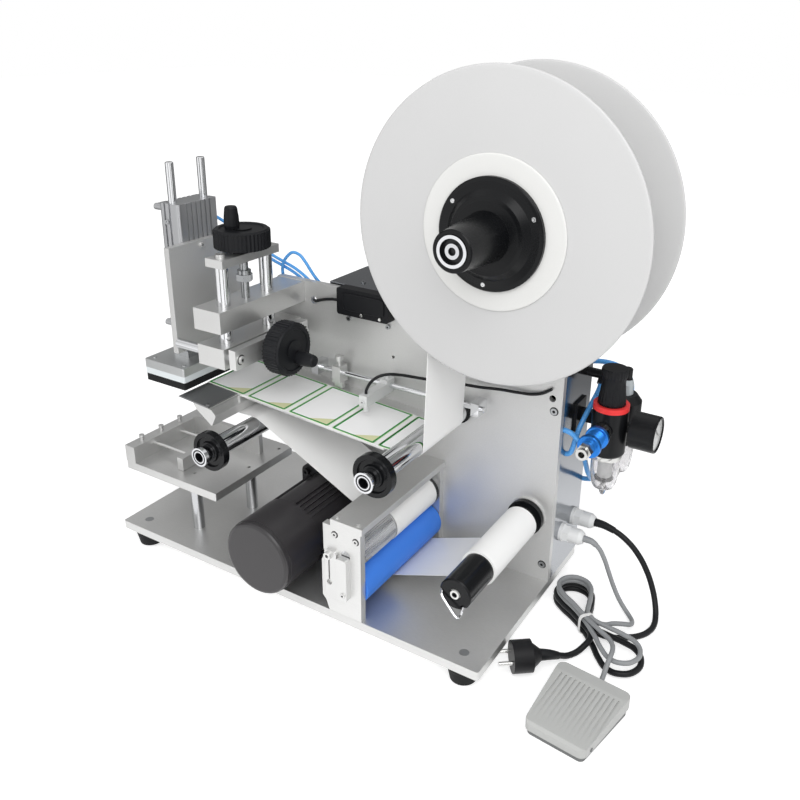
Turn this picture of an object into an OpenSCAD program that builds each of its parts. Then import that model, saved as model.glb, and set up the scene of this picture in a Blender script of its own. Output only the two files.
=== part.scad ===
// Semi-automatic flat labeling machine with label reel, peel plate, pneumatic pressing head,
// product table, liner drive, liner rewind shaft, air treatment unit and foot switch.
// Working frame of the modules: x = 0, y = 0, z = 0 is the front left top corner of the base plate,
// +X to the right along its front edge, +Y to the back, +Z up. placed() moves all of it so that the
// origin is the middle of the footprint on the floor.

/* [Base] */
// Length of the base plate along X
base_l = 533; // [520:1:560]
// Depth of the base plate along Y
base_d = 271; // [268:1:300]
// Thickness of the base plate
base_t = 11; // [8:0.5:14]
// Diameter of a rubber foot
foot_d = 38; // [30:1:44]
// Height of a rubber foot
foot_h = 22; // [16:1:30]
// Distance of the feet from the ends of the base plate
foot_in_x = 27; // [24:1:40]
// Distance of the feet from the long edges of the base plate
foot_in_y = 20; // [20:1:40]

/* [Upright panel and cabinet] */
// Front face of the upright panel, from the front edge of the base
panel_y = 180; // [178:1:186]
// Thickness of the upright panel
panel_t = 8; // [6:0.5:12]
// Height of the arm of the panel
arm_top = 318; // [312:1:324]
// Left end of the arm
arm_x = 130; // [122:1:132]
// Underside of the arm's free end
arm_low = 136; // [125:1:140]
// Left edge of the panel's leg
leg_x = 205; // [196:1:208]
// Left edge of the reel tower
tower_x = 430; // [410:1:440]
// Top of the reel tower
tower_top = 492; // [480:1:520]
// Sheet thickness of the cabinet
sheet_t = 1.5; // [1:0.5:3]

/* [Reel] */
// Axis of the reel, from the left end of the base
reel_x = 493; // [488:1:498]
// Height of the reel axis above the base plate
reel_z = 444.5; // [440:0.5:455]
// Radius of the two reel discs
disc_r = 150; // [120:1:160]
// Thickness of a reel disc
disc_t = 3; // [2:0.5:4]
// Radius of the cardboard core and of the spool that carries it
spool_r = 38; // [36:0.5:40]
// Radius of the roll of labels that is left
roll_r = 66; // [55:1:75]
// Radius of the reel axle
reel_axle_r = 12; // [10:0.5:14]

/* [Label web] */
// Front edge of the label web
web_y = 73.5; // [70:0.5:80]
// Width of the label web
web_w = 89; // [80:1:90]
// Thickness given to the web of labels
web_t = 0.6; // [0.4:0.1:1]
// Pitch of the labels along the web
label_pitch = 63.5; // [55:0.5:70]
// Height of the platform's top surface at its left end
plat_z = 195.4; // [194:0.2:196]
// Slope of the platform, down to the right
plat_tilt = 3.7; // [3:0.1:4]
// Right edge of the peel plate, where the platform starts
plat_x0 = 150; // [148:1:156]
// Right end of the platform
plat_x1 = 367; // [350:1:372]
// Left edge of the peel plate, where the label leaves its liner
peel_x = 101; // [101:0.5:104]

/* [Guide rollers] */
// Radius of both guide rollers
roller_r = 12.5; // [10:0.5:13]
// Radius of their fixed axles
axle_r = 6; // [4:0.5:8]
// Radius of the black retaining collars
collar_r = 24; // [20:0.5:26]
// X and Z of the liner roller under the peel plate
roller_1 = [176, 156.5];
// X and Z of the web roller at the right of the platform
roller_2 = [405.7, 195.6];

/* [Liner drive] */
// Axis of the driving roller, X
drive_x = 366; // [362:1:370]
// Axis of the driving roller, Z
drive_z = 37; // [35:0.5:40]
// Radius of the driving roller
drive_r = 23.5; // [21:0.5:24]
// Radius of the pinch roller
pinch_r = 20; // [18:0.5:20.5]
// Radius of both roller journals
journal_r = 6; // [4:0.5:8]
// Thickness of the roller box's end plates
box_t = 8.5; // [6:0.5:10]
// Top of the end plates
box_top = 114; // [112:1:120]
// X and Z of the guide pin that the liner passes under in the roller box
pin = [341, 94];
// Radius of that guide pin
pin_r = 4; // [3:0.5:4]

/* [Motor] */
// Axis of the motor, X
motor_x = 260; // [256:1:262]
// Axis of the motor, Z
motor_z = 53; // [50:1:60]
// Radius of the motor body
motor_r = 45; // [40:1:47]
// Front face of the motor's end cap
motor_y = -28; // [-34:1:-20]
// Length of the gearbox in front of the panel
gearbox_l = 66; // [50:1:80]

/* [Rewind shaft] */
// Axis of the rewind shaft, X
wind_x = 501; // [496:1:505]
// Axis of the rewind shaft, Z
wind_z = 84; // [80:1:90]
// Radius of the rewind mandrel
wind_r = 18; // [17:0.5:19]
// Front end of the rewind mandrel
wind_y = 3; // [0:1:12]
// Thickness of the paper wound on the mandrel
wound_t = 2.3; // [1.5:0.1:4]

/* [Head] */
// Left side of the head beam
beam_x = 135.5; // [133:0.5:140]
// Width of the head beam
beam_w = 41; // [36:1:44]
// Front end of the head beam
beam_y = 28; // [20:1:34]
// Height of the head beam
beam_h = 26; // [22:1:28]
// Radius of the two guide posts
post_r = 8; // [6:0.5:9]
// Half the distance between the guide posts
post_half = 37.5; // [34:0.5:40]
// Middle of the guide posts along Y
post_y = 90; // [86:1:94]
// Height of the crossbar's underside above the beam
crossbar_up = 47; // [40:1:55]
// Thickness of the crossbar
crossbar_t = 10; // [8:0.5:12]
// Middle of the pressing head along Y
head_y = 101; // [98:1:104]
// Height of the lower block
block_h = 25; // [22:1:28]
// Gap between the beam and the lower block
block_gap = 19; // [14:1:22]
// Radius of the two horizontal rods
xrod_r = 6; // [5:0.5:7]
// Half the distance between the horizontal rods
xrod_half = 58; // [50:1:60]
// Radius of the adjusting screws
screw_r = 5; // [4:0.5:6]
// Radius of both handwheels
wheel_r = 33; // [28:1:36]
// Thickness of both handwheels
wheel_t = 20; // [16:1:24]

/* [Cylinder and pad] */
// Right face of the cylinder plate
plate_x = 90.5; // [86:0.5:92]
// Thickness of the cylinder plate
plate_t = 8; // [6:0.5:10]
// Depth of the cylinder plate along Y
plate_d = 120; // [100:1:124]
// Top of the cylinder plate
plate_top = 376; // [366:1:382]
// Width of the cylinder body along X
cyl_w = 32; // [28:1:36]
// Length of the cylinder body along Y
cyl_d = 64; // [60:1:70]
// Height of the cylinder body
cyl_h = 180; // [170:1:186]
// Top of the cylinder body
cyl_top = 421; // [415:1:428]
// Radius of the two guide rods of the cylinder
rod_r = 5; // [4:0.5:6]
// Half the distance between the guide rods
rod_half = 25; // [22:0.5:26]
// Height of the rods above the cylinder body
rod_up = 48; // [40:1:60]
// Length of the pad along X
pad_l = 67; // [60:1:70]
// Width of the pad along Y
pad_w = 128; // [110:1:132]
// Thickness of the pad's aluminium plate
pad_plate_t = 11; // [8:0.5:12]
// Thickness of the white layer
pad_white_t = 8; // [5:0.5:9]
// Thickness of the black sponge
pad_sponge_t = 9.5; // [6:0.5:12]
// Underside of the sponge at rest
pad_z = 199.6; // [199.4:0.2:204]

/* [Product table] */
// Length of the table along X
table_l = 160; // [150:1:164]
// Depth of the table along Y
table_d = 149; // [140:1:152]
// Top of the table above the base plate
table_z = 75; // [68:1:82]
// Thickness of the table plate
table_t = 11; // [8:0.5:12]
// Middle of the table along X
table_x = 68; // [66:1:70]
// Middle of the table along Y
table_y = 100.5; // [99:0.5:102]
// Radius of the two table posts
table_post_r = 7.5; // [5:0.5:9]
// Thickness of the left fence
fence_t = 17; // [12:1:19]
// Height of the left fence above the table
fence_h = 23; // [18:1:26]
// Distance of the movable bar from the left fence
bar_gap = 58.5; // [30:0.5:66]
// Height of the back stop above the table
stop_h = 27.5; // [20:0.5:32]

/* [Sensor rail] */
// Height of the sensor rail above the base plate
rail_z = 212; // [212:0.5:215]
// Distance of the sensor rail in front of the panel
rail_out = 13.8; // [13:0.2:13.8]
// Radius of the sensor rail
rail_r = 3.4; // [3:0.1:3.4]

/* [Air unit] */
// Distance of the air unit's axes from the cabinet side
air_out = 45; // [42:1:48]
// Middle of the filter regulator along Y
air_y = 212; // [209:1:215]
// Distance from the regulator to the lubricator
air_pitch = 48; // [46:1:50]
// Radius of the regulator and lubricator bodies
air_r = 20; // [18:0.5:21]
// Underside of the regulator body above the base plate
air_z = 177; // [172:1:182]

/* [Foot switch] */
// Middle of the foot switch, X
pedal_x = 631; // [626:1:640]
// Middle of the foot switch, Y
pedal_y = 26; // [20:1:28]
// Depth of the foot switch
pedal_d = 92; // [86:1:96]
// Width of the foot switch at its cable end
pedal_w = 82; // [76:1:84]
// Width of the foot switch at its hinge end
pedal_w_front = 68; // [64:1:74]
// Turn of the foot switch on the floor, in degrees
pedal_turn = -6; // [-10:1:0]

/* [Cords] */
// Diameter of the mains cord
mains_d = 7; // [6:0.5:8]
// Diameter of the foot switch cord
pedal_cord_d = 5.5; // [5:0.5:7]
// Diameter of the air tubes at the air unit
tube_d = 6; // [4:0.5:7]
// Diameter of the air tubes of the pressing head
head_tube_d = 4; // [3:0.5:5]

/* [Hidden] */
run = 0.05;      // radial clearance of a running fit
air_gap = 0.35;  // clearance between pieces that move past each other
floor_z = -base_t - foot_h;
panel_back = panel_y + panel_t;
box_z1 = arm_top + 3;
beam_z1 = arm_top - 1;
beam_z0 = beam_z1 - beam_h;
beam_mid = beam_x + beam_w / 2;
post_x = beam_mid + 4;
crossbar_z = beam_z1 + crossbar_up;
crossbar_top = crossbar_z + crossbar_t;
block_z1 = beam_z0 - block_gap;
block_z0 = block_z1 - block_h;
block_y0 = head_y - 71;
block_y1 = head_y + 69;
block_x0 = beam_x + 0.5;
block_x1 = beam_x + beam_w;
xrod_z = block_z1 - 13;
end_plate_t = 10;
end_plate_x = block_x1 + 4;
web_y1 = web_y + web_w;
web_mid = web_y + web_w / 2;
disc_back_y = web_y1 + 4.5;
disc_front_y = web_y - 3.5 - disc_t;
washer_t = 2;
washer_y = disc_front_y - washer_t;
hub_y = washer_y - 5;
nose_y = hub_y - 70;
plat_t = 3;
peel_y = 24.5;
cyl_x1 = plate_x - plate_t;
cyl_x0 = cyl_x1 - cyl_w;
cyl_mid = (cyl_x0 + cyl_x1) / 2;
cyl_z0 = cyl_top - cyl_h;
pad_top = pad_z + pad_sponge_t + pad_white_t + pad_plate_t;
pad_x0 = cyl_mid - pad_l / 2;
rail_y = panel_y - rail_out;
air_x = base_l + air_out;
lub_y = air_y + air_pitch;
liner_t = 0.3;
nip = 2 * 0.3 + liner_t;
pinch_z = drive_z + drive_r + pinch_r + nip;
box_x0 = drive_x - 30;
box_x1 = drive_x + 20;
pulley_r = 19;
pulley_y = panel_back + 8;
belt_w = 12;
pedal_r = 8;
pedal_h = 24;
pedal_base_h = 6;
pedal_pin_in = 14;
// the footprint without the cords: table end to foot switch corner, motor cap to lubricator back
foot_hi_x = pedal_x + (pedal_w / 2 - pedal_r) * cos(pedal_turn)
          - (pedal_d / 2 - pedal_r) * sin(pedal_turn) + pedal_r;
mid_x = (table_x - table_l / 2 + foot_hi_x) / 2;
outlet_y = lub_y + air_r + 5;
outlet_r = 5;
mid_y = (motor_y + outlet_y + outlet_r) / 2;

// routes of the cords and tubes, round numbers chosen by hand
mains_route = [[562, 250, 56], [572, 250, 56], [588, 249, 53], [605, 248, 45], [620, 246, 33],
    [633, 243, 17], [643, 238, 1], [651, 230, -14], [656, 220, -25], [658, 208, -29.5],
    [656, 194, -29.5], [649, 181, -29.5], [638, 171, -29.5], [626, 163, -29.5]];
mains_tail = [[596, 152.5, -22.5], [601.5, 147, -22.3], [604.5, 140.5, -22.2], [604.5, 133, -23],
    [602, 125.5, -25.5], [598.5, 118.5, -28.4], [594.5, 111.5, -29.4], [590.5, 104.5, -28],
    [586.5, 97.5, -24.5], [582.5, 90.5, -20.5], [577.8, 84, -17.2], [573.6, 79.2, -15.5],
    [570.8, 76.8, -15.1]];
pedal_route = [[562, 212, 54], [571, 212, 54], [581, 212, 48], [589, 213, 35], [596, 214, 18],
    [603, 215, 1], [611, 215, -14], [620, 213, -24], [629, 207, -28], [635, 197, -26],
    [636, 186, -22], [630, 176, -17], [621, 168, -14.8], [612, 162.3, -16]];
pedal_tail = [[626.3, 136.3, -10.8], [632, 130.5, -10.6], [635.8, 123, -10.4], [637.3, 115, -10.6],
    [637.6, 107.5, -12.6], [637.5, 100.5, -17], [637.4, 94, -22.3], [637.3, 88, -26.8], [637, 82.5, -28.7],
    [636.2, 75.4, -28.8]];
head_tube_1 = [[42, 82.8, 414], [42, 95, 413.6], [42, 108, 411.5], [42, 122, 407.5], [42.5, 136, 401.8],
    [45, 149, 395], [51, 161, 387], [62, 171, 376], [78, 180, 364], [96, 186, 351], [116, 190, 340],
    [134, 192, 333], [152, 193, 326.5], [167, 194, 318], [179, 195.5, 308], [188, 197.5, 299.5],
    [196, 199.5, 294], [203, 201, 292], [208, 201, 291.5]];
head_tube_2 = [[42, 82.8, 267], [42, 95, 267], [42, 108, 267.2], [41, 122, 268], [40.5, 134, 271],
    [41, 143, 278], [42, 149, 290], [43, 154, 308], [45.5, 159, 326], [51, 165, 342], [61, 172, 351],
    [74, 178.5, 352], [89, 184, 346], [106, 188.5, 338], [121, 191.5, 331], [136, 194, 325],
    [151, 196, 318], [165, 198, 307.5], [176, 199.5, 296.5], [186, 201, 287.5], [196, 202.5, 281.5],
    [203, 203, 280], [208, 203, 280]];
head_tube_3 = [[134, 188.4, 291], [134, 190.6, 291], [133.6, 193.6, 293], [132.5, 195, 300],
    [131.5, 194, 309], [132.5, 190.5, 320], [137, 187, 332], [145, 186, 343], [154, 187, 349.5],
    [163, 188.5, 347.5], [171, 190, 339], [177, 192, 329], [182.5, 195, 319], [189, 198.5, 310.5],
    [196, 201.5, 305], [203, 203, 303], [208, 203, 303]];
// tubes at the air unit, with X measured from the cabinet side
valve_tube_1 = [[19, 247.9, 239.5], [19, 245.3, 236.5], [18, 240.5, 230.3], [16, 234, 222], [14, 226, 213],
    [12, 218, 203.5], [10, 211, 192.5], [8.8, 206.5, 181.5], [7.4, 204.5, 172.5], [5.3, 204, 166.6],
    [1, 204, 164], [-3.5, 204, 164]];
valve_tube_2 = [[-3.5, 191.8, 199.5], [2.5, 191.8, 199.5], [8.5, 192.8, 197.5], [13.5, 195, 192.5],
    [17.5, 198.5, 186], [20, 202.5, 177.5], [21, 207, 167], [21, 213, 156], [21, 220, 145],
    [20.5, 228, 134.5], [20, 237, 125.5], [19.5, 246.5, 117.5], [18.5, 256, 111], [16.5, 265, 105.5],
    [12.5, 272, 101], [6.5, 275.5, 97.5], [-1, 277.5, 95], [-9, 278, 94], [-15.5, 277, 93.5],
    [-19.8, 274.6, 93.5], [-21.5, 271.5, 93.5], [-21.5, 267, 93.5]];
outlet_tube = [[air_out, outlet_y, air_z + 43.2], [air_out, outlet_y, air_z + 49], [44, 285.3, 233],
    [40.5, 285.8, 240.5], [34, 286, 247], [25, 285.5, 251.5], [15, 284, 253.5], [5, 282.5, 253.5],
    [-5, 281, 252], [-13, 280, 250.5], [-18, 276.5, 250], [-20, 272, 250], [-20, 267, 250]];
gland_at = [[250, 56], [212, 54]];
head_ports = [[201, 291.5], [203, 280], [203, 303]];
side_holes = [[204, 164], [191.8, 199.5]];
back_holes = [[base_l - 21.5, 93.5], [base_l - 20, 250]];
elbow = [256, 249];
clip_turns = [184, -52];
clip_r = 15.6;
table_posts = [[95, 43.5], [121, 118]];
amp_cable = [[236, 172, 305], [228, 170, 305], [220, 170, 303.5], [211, 171, 301], [203, 173, 298],
    [196, 177, 295], [191, 181, 294]];
sensor_cable = [[311, 121, 216.4], [311, 121.3, 219.5], [312.5, 122, 224.4], [316.5, 125, 232.2],
    [322.8, 131, 237.7], [331.6, 139, 239.5], [341.2, 148, 237.8], [359.7, 160, 234], [385, 167, 233],
    [412.2, 170, 235], [435, 172, 236], [459.3, 174, 238.4], [482, 175.5, 239.5], [498, 176.5, 241],
    [510, 177.4, 245], [520, 178, 252]];

// Helpers

module placed() { translate([-mid_x, -mid_y, -floor_z]) children(); }

// turns a Z axis shape so that its axis points to +Y
module along_y() { rotate([-90, 0, 0]) children(); }

// turns a Z axis shape so that its axis points to +X
module along_x() { rotate([0, 90, 0]) children(); }

module rod_y(x, z, y0, y1, r) { translate([x, y0, z]) along_y() cylinder(h = y1 - y0, r = r, $fn = 48); }
module rod_x(y, z, x0, x1, r) { translate([x0, y, z]) along_x() cylinder(h = x1 - x0, r = r, $fn = 48); }

module box(lo, hi) { translate(lo) cube(hi - lo); }

// an outline drawn in X and Z, given its thickness along +Y from y0
module wall_xz(y0, t) { translate([0, y0 + t, 0]) rotate([90, 0, 0]) linear_extrude(t) children(); }

// a rectangle with round corners, from corner to corner
module round_rect(lo, hi, r) {
    translate([lo[0] + r, lo[1]]) square([hi[0] - lo[0] - 2 * r, hi[1] - lo[1]]);
    translate([lo[0], lo[1] + r]) square([hi[0] - lo[0], hi[1] - lo[1] - 2 * r]);
    for (x = [lo[0] + r, hi[0] - r], y = [lo[1] + r, hi[1] - r]) translate([x, y]) circle(r, $fn = 32);
}

// a hexagon socket screw head standing on z = 0, with its socket
module socket_head(r, h) {
    difference() {
        cylinder(h = h, r = r, $fn = 32);
        translate([0, 0, h * 0.4]) cylinder(h = h, r = r * 0.5, $fn = 6);
    }
}

// outline of a wheel with n flutes between the radii r - depth and r
function fluted(n, r, depth) = [for (i = [0 : 2 * n - 1]) let (a = i * 180 / n, q = r - depth * (i % 2))
    [q * cos(a), q * sin(a)]];

// points of an arc about c, from angle a to angle b in n steps
function arc(c, r, a, b, n) = [for (i = [0 : n]) let (t = a + (b - a) * i / n)
    [c[0] + r * cos(t), c[1] + r * sin(t)]];

function unit(v) = v / norm(v);
// direction of a route at its point i, from the neighbours on both sides
function heading(p, i) = unit(p[min(i + 1, len(p) - 1)] - p[max(i - 1, 0)]);
// a first side vector across a heading, and the same vector carried on to the next heading
function side(t) = unit(cross(t, abs(t[2]) < 0.8 ? [0, 0, 1] : [0, 1, 0]));
function carried(p, i) = i == 0 ? side(heading(p, 0))
    : let (t = heading(p, i), s = carried(p, i - 1)) unit(s - t * (s * t));

// a tube of diameter d with n sides, swept along the points p
module sweep(p, d, n = 8) {
    rings = [for (i = [0 : len(p) - 1]) let (t = heading(p, i), s = carried(p, i), u = cross(t, s))
        for (k = [0 : n - 1]) p[i] + d / 2 * (s * cos(k * 360 / n) + u * sin(k * 360 / n))];
    last = (len(p) - 1) * n;
    polyhedron(points = rings, faces = concat(
        [[for (k = [0 : n - 1]) k]],
        [for (i = [0 : len(p) - 2], k = [0 : n - 1]) let (a = i * n + k, b = i * n + (k + 1) % n)
            [a, a + n, b + n, b]],
        [[for (k = [n - 1 : -1 : 0]) last + k]]));
}

// Base and cabinet

module base_plate() {
    color("silver") difference() {
        translate([0, 0, -base_t]) linear_extrude(base_t) round_rect([0, 0], [base_l, base_d], 3);
        foot_places() {
            translate([0, 0, -base_t - 1]) cylinder(h = base_t + 2, r = 3.2, $fn = 32);
            translate([0, 0, -3]) cylinder(h = 4, r = 5.5, $fn = 32);
        }
    }
}

module foot_places() {
    for (x = [foot_in_x, base_l - foot_in_x], y = [foot_in_y, base_d - foot_in_y])
        translate([x, y, 0]) children();
}

module rubber_feet() {
    color("#1a1a1c") foot_places() translate([0, 0, floor_z]) rotate_extrude($fn = 48) {
        difference() {
            polygon([[0, 2], [7, 2], [7, 0], [foot_d / 2 - 7, 0], [foot_d / 2 - 4, 1.5],
                [foot_d / 2 - 1, foot_h - 6], [foot_d / 2, foot_h - 3], [foot_d / 2, foot_h], [0, foot_h]]);
            translate([0, foot_h - 11]) square([3.1, 12]);
        }
    }
}

// outline of the upright panel: a leg, an arm to the left and a tower to the right
module panel_outline() {
    polygon(concat([[base_l, 0], [base_l, tower_top - 10], [base_l - 10, tower_top],
        [tower_x + 12, tower_top],
        [tower_x, tower_top - 12]],
        arc([tower_x - 14, arm_top + 14], 14, 360, 270, 4),
        [[arm_x + 4, arm_top], [arm_x, arm_top - 4], [arm_x, arm_low + 16], [arm_x + 16, arm_low]],
        arc([leg_x - 14, arm_low - 14], 14, 90, 0, 4), [[leg_x, 0]]));
}

module upright_panel() {
    color("#b9bbbd") difference() {
        wall_xz(panel_y, panel_t) panel_outline();
        rod_y(reel_x, reel_z, panel_y - 1, panel_back + 1, reel_axle_r);
        for (p = [roller_1, roller_2]) rod_y(p[0], p[1], panel_y - 1, panel_back + 1, axle_r);
        rod_y(wind_x, wind_z, panel_y - 1, panel_back + 1, 16);
        rod_y(motor_x, motor_z, panel_y - 1, panel_back + 1, 8);
        for (z = [drive_z, pinch_z]) rod_y(drive_x, z, panel_y - 1, panel_back + 1, journal_r + 2);
        rod_y(311, 243, panel_y - 1, panel_back + 1, 2);
        rod_y(191, 294, panel_y - 1, panel_back + 1, 5);
        rod_y(521, 240, panel_y - 1, panel_back + 1, 4);
    }
}

// outline of the cabinet behind the panel
module cabinet_outline(inset = 0) {
    x0 = leg_x + 6 + inset;
    xt = tower_x + 4 + inset;
    polygon([[base_l - inset, inset], [base_l - inset, tower_top - 12 - inset], [xt, tower_top - 12 - inset],
        [xt, box_z1 - inset], [x0, box_z1 - inset], [x0, inset]]);
}

module cabinet_shell() {
    depth = base_d - sheet_t - panel_back;
    color("#a9abae") difference() {
        wall_xz(panel_back, depth) cabinet_outline();
        wall_xz(panel_back - 1, depth + 2) cabinet_outline(sheet_t);
        for (p = gland_at) rod_x(p[0], p[1], base_l - 5, base_l + 1, 7);
        for (p = side_holes) rod_x(p[0], p[1], base_l - 5, base_l + 1, tube_d / 2 + 0.2);
        for (p = head_ports) rod_x(p[0], p[1], leg_x, leg_x + 9, head_tube_d / 2 + 0.3);
    }
}

module cabinet_back() {
    color("#a4a6a9") difference() {
        wall_xz(base_d - sheet_t, sheet_t) cabinet_outline();
        for (p = back_holes) rod_y(p[0], p[1], base_d - sheet_t - 1, base_d + 1, tube_d / 2 + 0.4);
        for (p = back_screws()) rod_y(p[0], p[1], base_d - sheet_t - 1, base_d + 1, 1.6);
    }
}

function back_screws() = [[leg_x + 16, 10], [leg_x + 16, box_z1 - 10], [tower_x - 12, box_z1 - 10],
    [tower_x + 14, tower_top - 22], [base_l - 10, tower_top - 22], [base_l - 10, 10],
    [base_l - 10, box_z1 - 60], [(leg_x + base_l) / 2, 10]];

// countersunk and socket head screws that hold the frame together
module frame_screws() {
    color("#c9cacc") {
        foot_places() translate([0, 0, -3]) {
            cylinder(h = 3, r = 5.3, $fn = 32);
            translate([0, 0, -base_t - 2]) cylinder(h = base_t + 2, r = 3, $fn = 32);
        }
        for (p = [[base_l - 9, 22], [base_l - 9, 225], [base_l - 9, 460], [tower_x + 16, 460],
            [leg_x + 6, 14]])
            translate([p[0], panel_y, p[1]]) rotate([90, 0, 0]) socket_head(4, 1.2);
        for (p = back_screws()) translate([p[0], base_d, p[1]]) along_y() {
            translate([0, 0, -sheet_t]) cylinder(h = sheet_t, r = 1.55, $fn = 32);
            socket_head(3, 1.6);
        }
        for (x = [leg_x + 45, tower_x - 30], y = [panel_back + 17, base_d - 16])
            translate([x, y, box_z1]) socket_head(3, 1.6);
        for (x = [246, 304]) translate([x, panel_y, 281]) rotate([90, 0, 0]) socket_head(3, 3);
    }
}

// Pressing head

module head_beam() {
    color("#c4c6c8") difference() {
        box([beam_x, beam_y, beam_z0], [beam_x + beam_w, panel_y, beam_z1]);
        for (y = [post_y - post_half, post_y + post_half])
            translate([post_x, y, beam_z0 - 1]) cylinder(h = beam_h + 2, r = post_r + run, $fn = 64);
        translate([post_x, post_y, beam_z0 - 1]) cylinder(h = beam_h + 2, r = screw_r + run, $fn = 64);
    }
}

// crossbar with its two guide posts and the bearing seat of the lifting screw
module crossbar() {
    y0 = post_y - post_half - 11;
    y1 = post_y + post_half + 11;
    color("#c4c6c8") difference() {
        box([post_x - 13, y0, crossbar_z], [post_x + 13, y1, crossbar_top]);
        translate([post_x, post_y, crossbar_z - 1]) cylinder(h = crossbar_t + 2, r = screw_r + run, $fn = 64);
        for (y = [post_y - post_half, post_y + post_half])
            translate([post_x, y, crossbar_z - 1]) cylinder(h = crossbar_t + 2, r = 3.2, $fn = 32);
    }
    color("#e4e6e8") for (y = [post_y - post_half, post_y + post_half]) translate([post_x, y, 0]) {
        translate([0, 0, block_z1]) cylinder(h = crossbar_z - block_z1, r = post_r, $fn = 64);
        translate([0, 0, crossbar_z]) cylinder(h = crossbar_t + 0.1, r = 3.2, $fn = 32);
        translate([0, 0, crossbar_top]) socket_head(5.5, 4);
    }
}

module lower_block() {
    color("#c4c6c8") difference() {
        box([block_x0, block_y0, block_z0], [block_x1, block_y1, block_z1]);
        for (y = [head_y - xrod_half, head_y + xrod_half])
            rod_x(y, xrod_z, block_x0 - 1, block_x1 + 1, xrod_r + run);
        rod_x(head_y, xrod_z, block_x0 - 1, block_x1 + 1, screw_r + run);
    }
}

// black fluted wheel with a hub below and a crank knob above, its axis on +Z from z = 0
module handwheel(knob_at, hub_h = 5) {
    difference() {
        union() {
            cylinder(h = hub_h, r = 11, $fn = 48);
            translate([0, 0, hub_h]) linear_extrude(wheel_t) polygon(fluted(44, wheel_r, 1));
            translate([0, 0, hub_h + wheel_t]) cylinder(h = 2, r1 = wheel_r - 1.2, r2 = wheel_r - 3,
                $fn = 64);
        }
        translate([0, 0, hub_h + wheel_t + 0.6]) rotate_extrude($fn = 64)
            polygon([[wheel_r - 8, 0], [wheel_r - 6, 3], [13, 3], [11, 0]]);
    }
    translate([knob_at[0], knob_at[1], hub_h + wheel_t + 0.6]) rotate_extrude($fn = 48)
        polygon([[0, 0], [8.2, 0], [9, 4], [8.6, 14], [7.4, 24], [6.2, 26], [0, 26]]);
}

// lifting screw: bearing in the crossbar, thread in the beam, nut collar between them
module lift_handwheel() {
    translate([post_x, post_y, 0]) {
        color("#8e9092") {
            translate([0, 0, beam_z0 - 6]) cylinder(h = crossbar_top + air_gap - beam_z0 + 6, r = screw_r,
                $fn = 64);
            translate([0, 0, crossbar_z - 26]) cylinder(h = 8, r = 10, $fn = 6);
            translate([0, 0, crossbar_z - 18]) cylinder(h = 5, r = 8, $fn = 48);
        }
        color("#151517") translate([0, 0, crossbar_top + air_gap]) handwheel([-9, -6]);
    }
}

// right hand end plate with the two horizontal rods that carry the cylinder plate
module end_plate() {
    color("#c4c6c8") difference() {
        box([end_plate_x, block_y0 + 4, block_z0 + 1], [end_plate_x + end_plate_t, block_y1 - 4, block_z1]);
        rod_x(head_y, xrod_z, end_plate_x - 1, end_plate_x + end_plate_t + 1, screw_r + run);
    }
    color("#e4e6e8") for (y = [head_y - xrod_half, head_y + xrod_half]) {
        rod_x(y, xrod_z, plate_x, end_plate_x, xrod_r);
        translate([end_plate_x + end_plate_t, y, xrod_z]) along_x() socket_head(5, 3);
    }
}

// offset screw: thread in the lower block, bearing in the end plate
module offset_handwheel() {
    x1 = end_plate_x + end_plate_t;
    translate([0, head_y, xrod_z]) {
        color("#8e9092") {
            translate([block_x0 - 8, 0, 0]) along_x()
                cylinder(h = x1 + air_gap - block_x0 + 8, r = screw_r, $fn = 64);
        }
        color("#151517") translate([x1 + air_gap, 0, 0]) along_x() handwheel([12, 7], 9);
    }
}

module cylinder_plate() {
    z0 = cyl_z0 + 4;
    color("#bdbfc1") box([cyl_x1, head_y - plate_d / 2, z0], [plate_x, head_y + plate_d / 2, plate_top]);
    color("#d8dadc") for (y = [head_y - 8, head_y + 20]) {
        translate([plate_x, y, plate_top - 6]) along_x() socket_head(3.4, 3);
        translate([plate_x, y, z0 + 45]) along_x() socket_head(3.4, 3);
    }
}

// twin rod air cylinder: grooved body with round corners, two rod bores and two port elbows
module cylinder_outline() {
    y0 = head_y - cyl_d / 2;
    difference() {
        round_rect([cyl_x0, y0], [cyl_x1, y0 + cyl_d], 4);
        for (y = [y0 + 13 : 7.6 : y0 + cyl_d - 12], x = [cyl_x0, cyl_x1])
            translate([x, y]) square([5, 2.8], center = true);
        for (x = [cyl_x0 + 9, cyl_x0 + 17], y = [y0, y0 + cyl_d])
            translate([x, y]) square([2.8, 5], center = true);
        for (y = [head_y - rod_half, head_y + rod_half]) translate([cyl_mid, y])
            circle(rod_r + run, $fn = 64);
    }
}

module air_cylinder() {
    color("#c2c4c6") translate([0, 0, cyl_z0]) linear_extrude(cyl_h) cylinder_outline();
    color("#9a9c9e") for (z = [cyl_z0 + 26, cyl_top - 7]) translate([cyl_x0, head_y - 26, z]) {
        rotate([0, -90, 0]) cylinder(h = 12, r = 4, $fn = 32);
        translate([-8.5, 0, 0]) along_y() cylinder(h = 7.5, r = 4.4, $fn = 32);
    }
    color("#9a9c9e") translate([cyl_x0 + 13, head_y - cyl_d / 2, cyl_top - 22]) rotate([90, 0, 0]) socket_head(3, 2.5);
}

module guide_rods() {
    color("#e8eaec") for (y = [head_y - rod_half, head_y + rod_half]) translate([cyl_mid, y, pad_top]) {
        cylinder(h = cyl_top + rod_up - 1 - pad_top, r = rod_r, $fn = 64);
        translate([0, 0, cyl_top + rod_up - 1 - pad_top])
            cylinder(h = 1, r1 = rod_r, r2 = rod_r - 1, $fn = 64);
    }
    color("#4a4c4e") box([cyl_mid - 12, head_y - rod_half - 9, pad_top], [cyl_mid + 12, head_y + rod_half + 9, pad_top + 8]);
}

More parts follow.
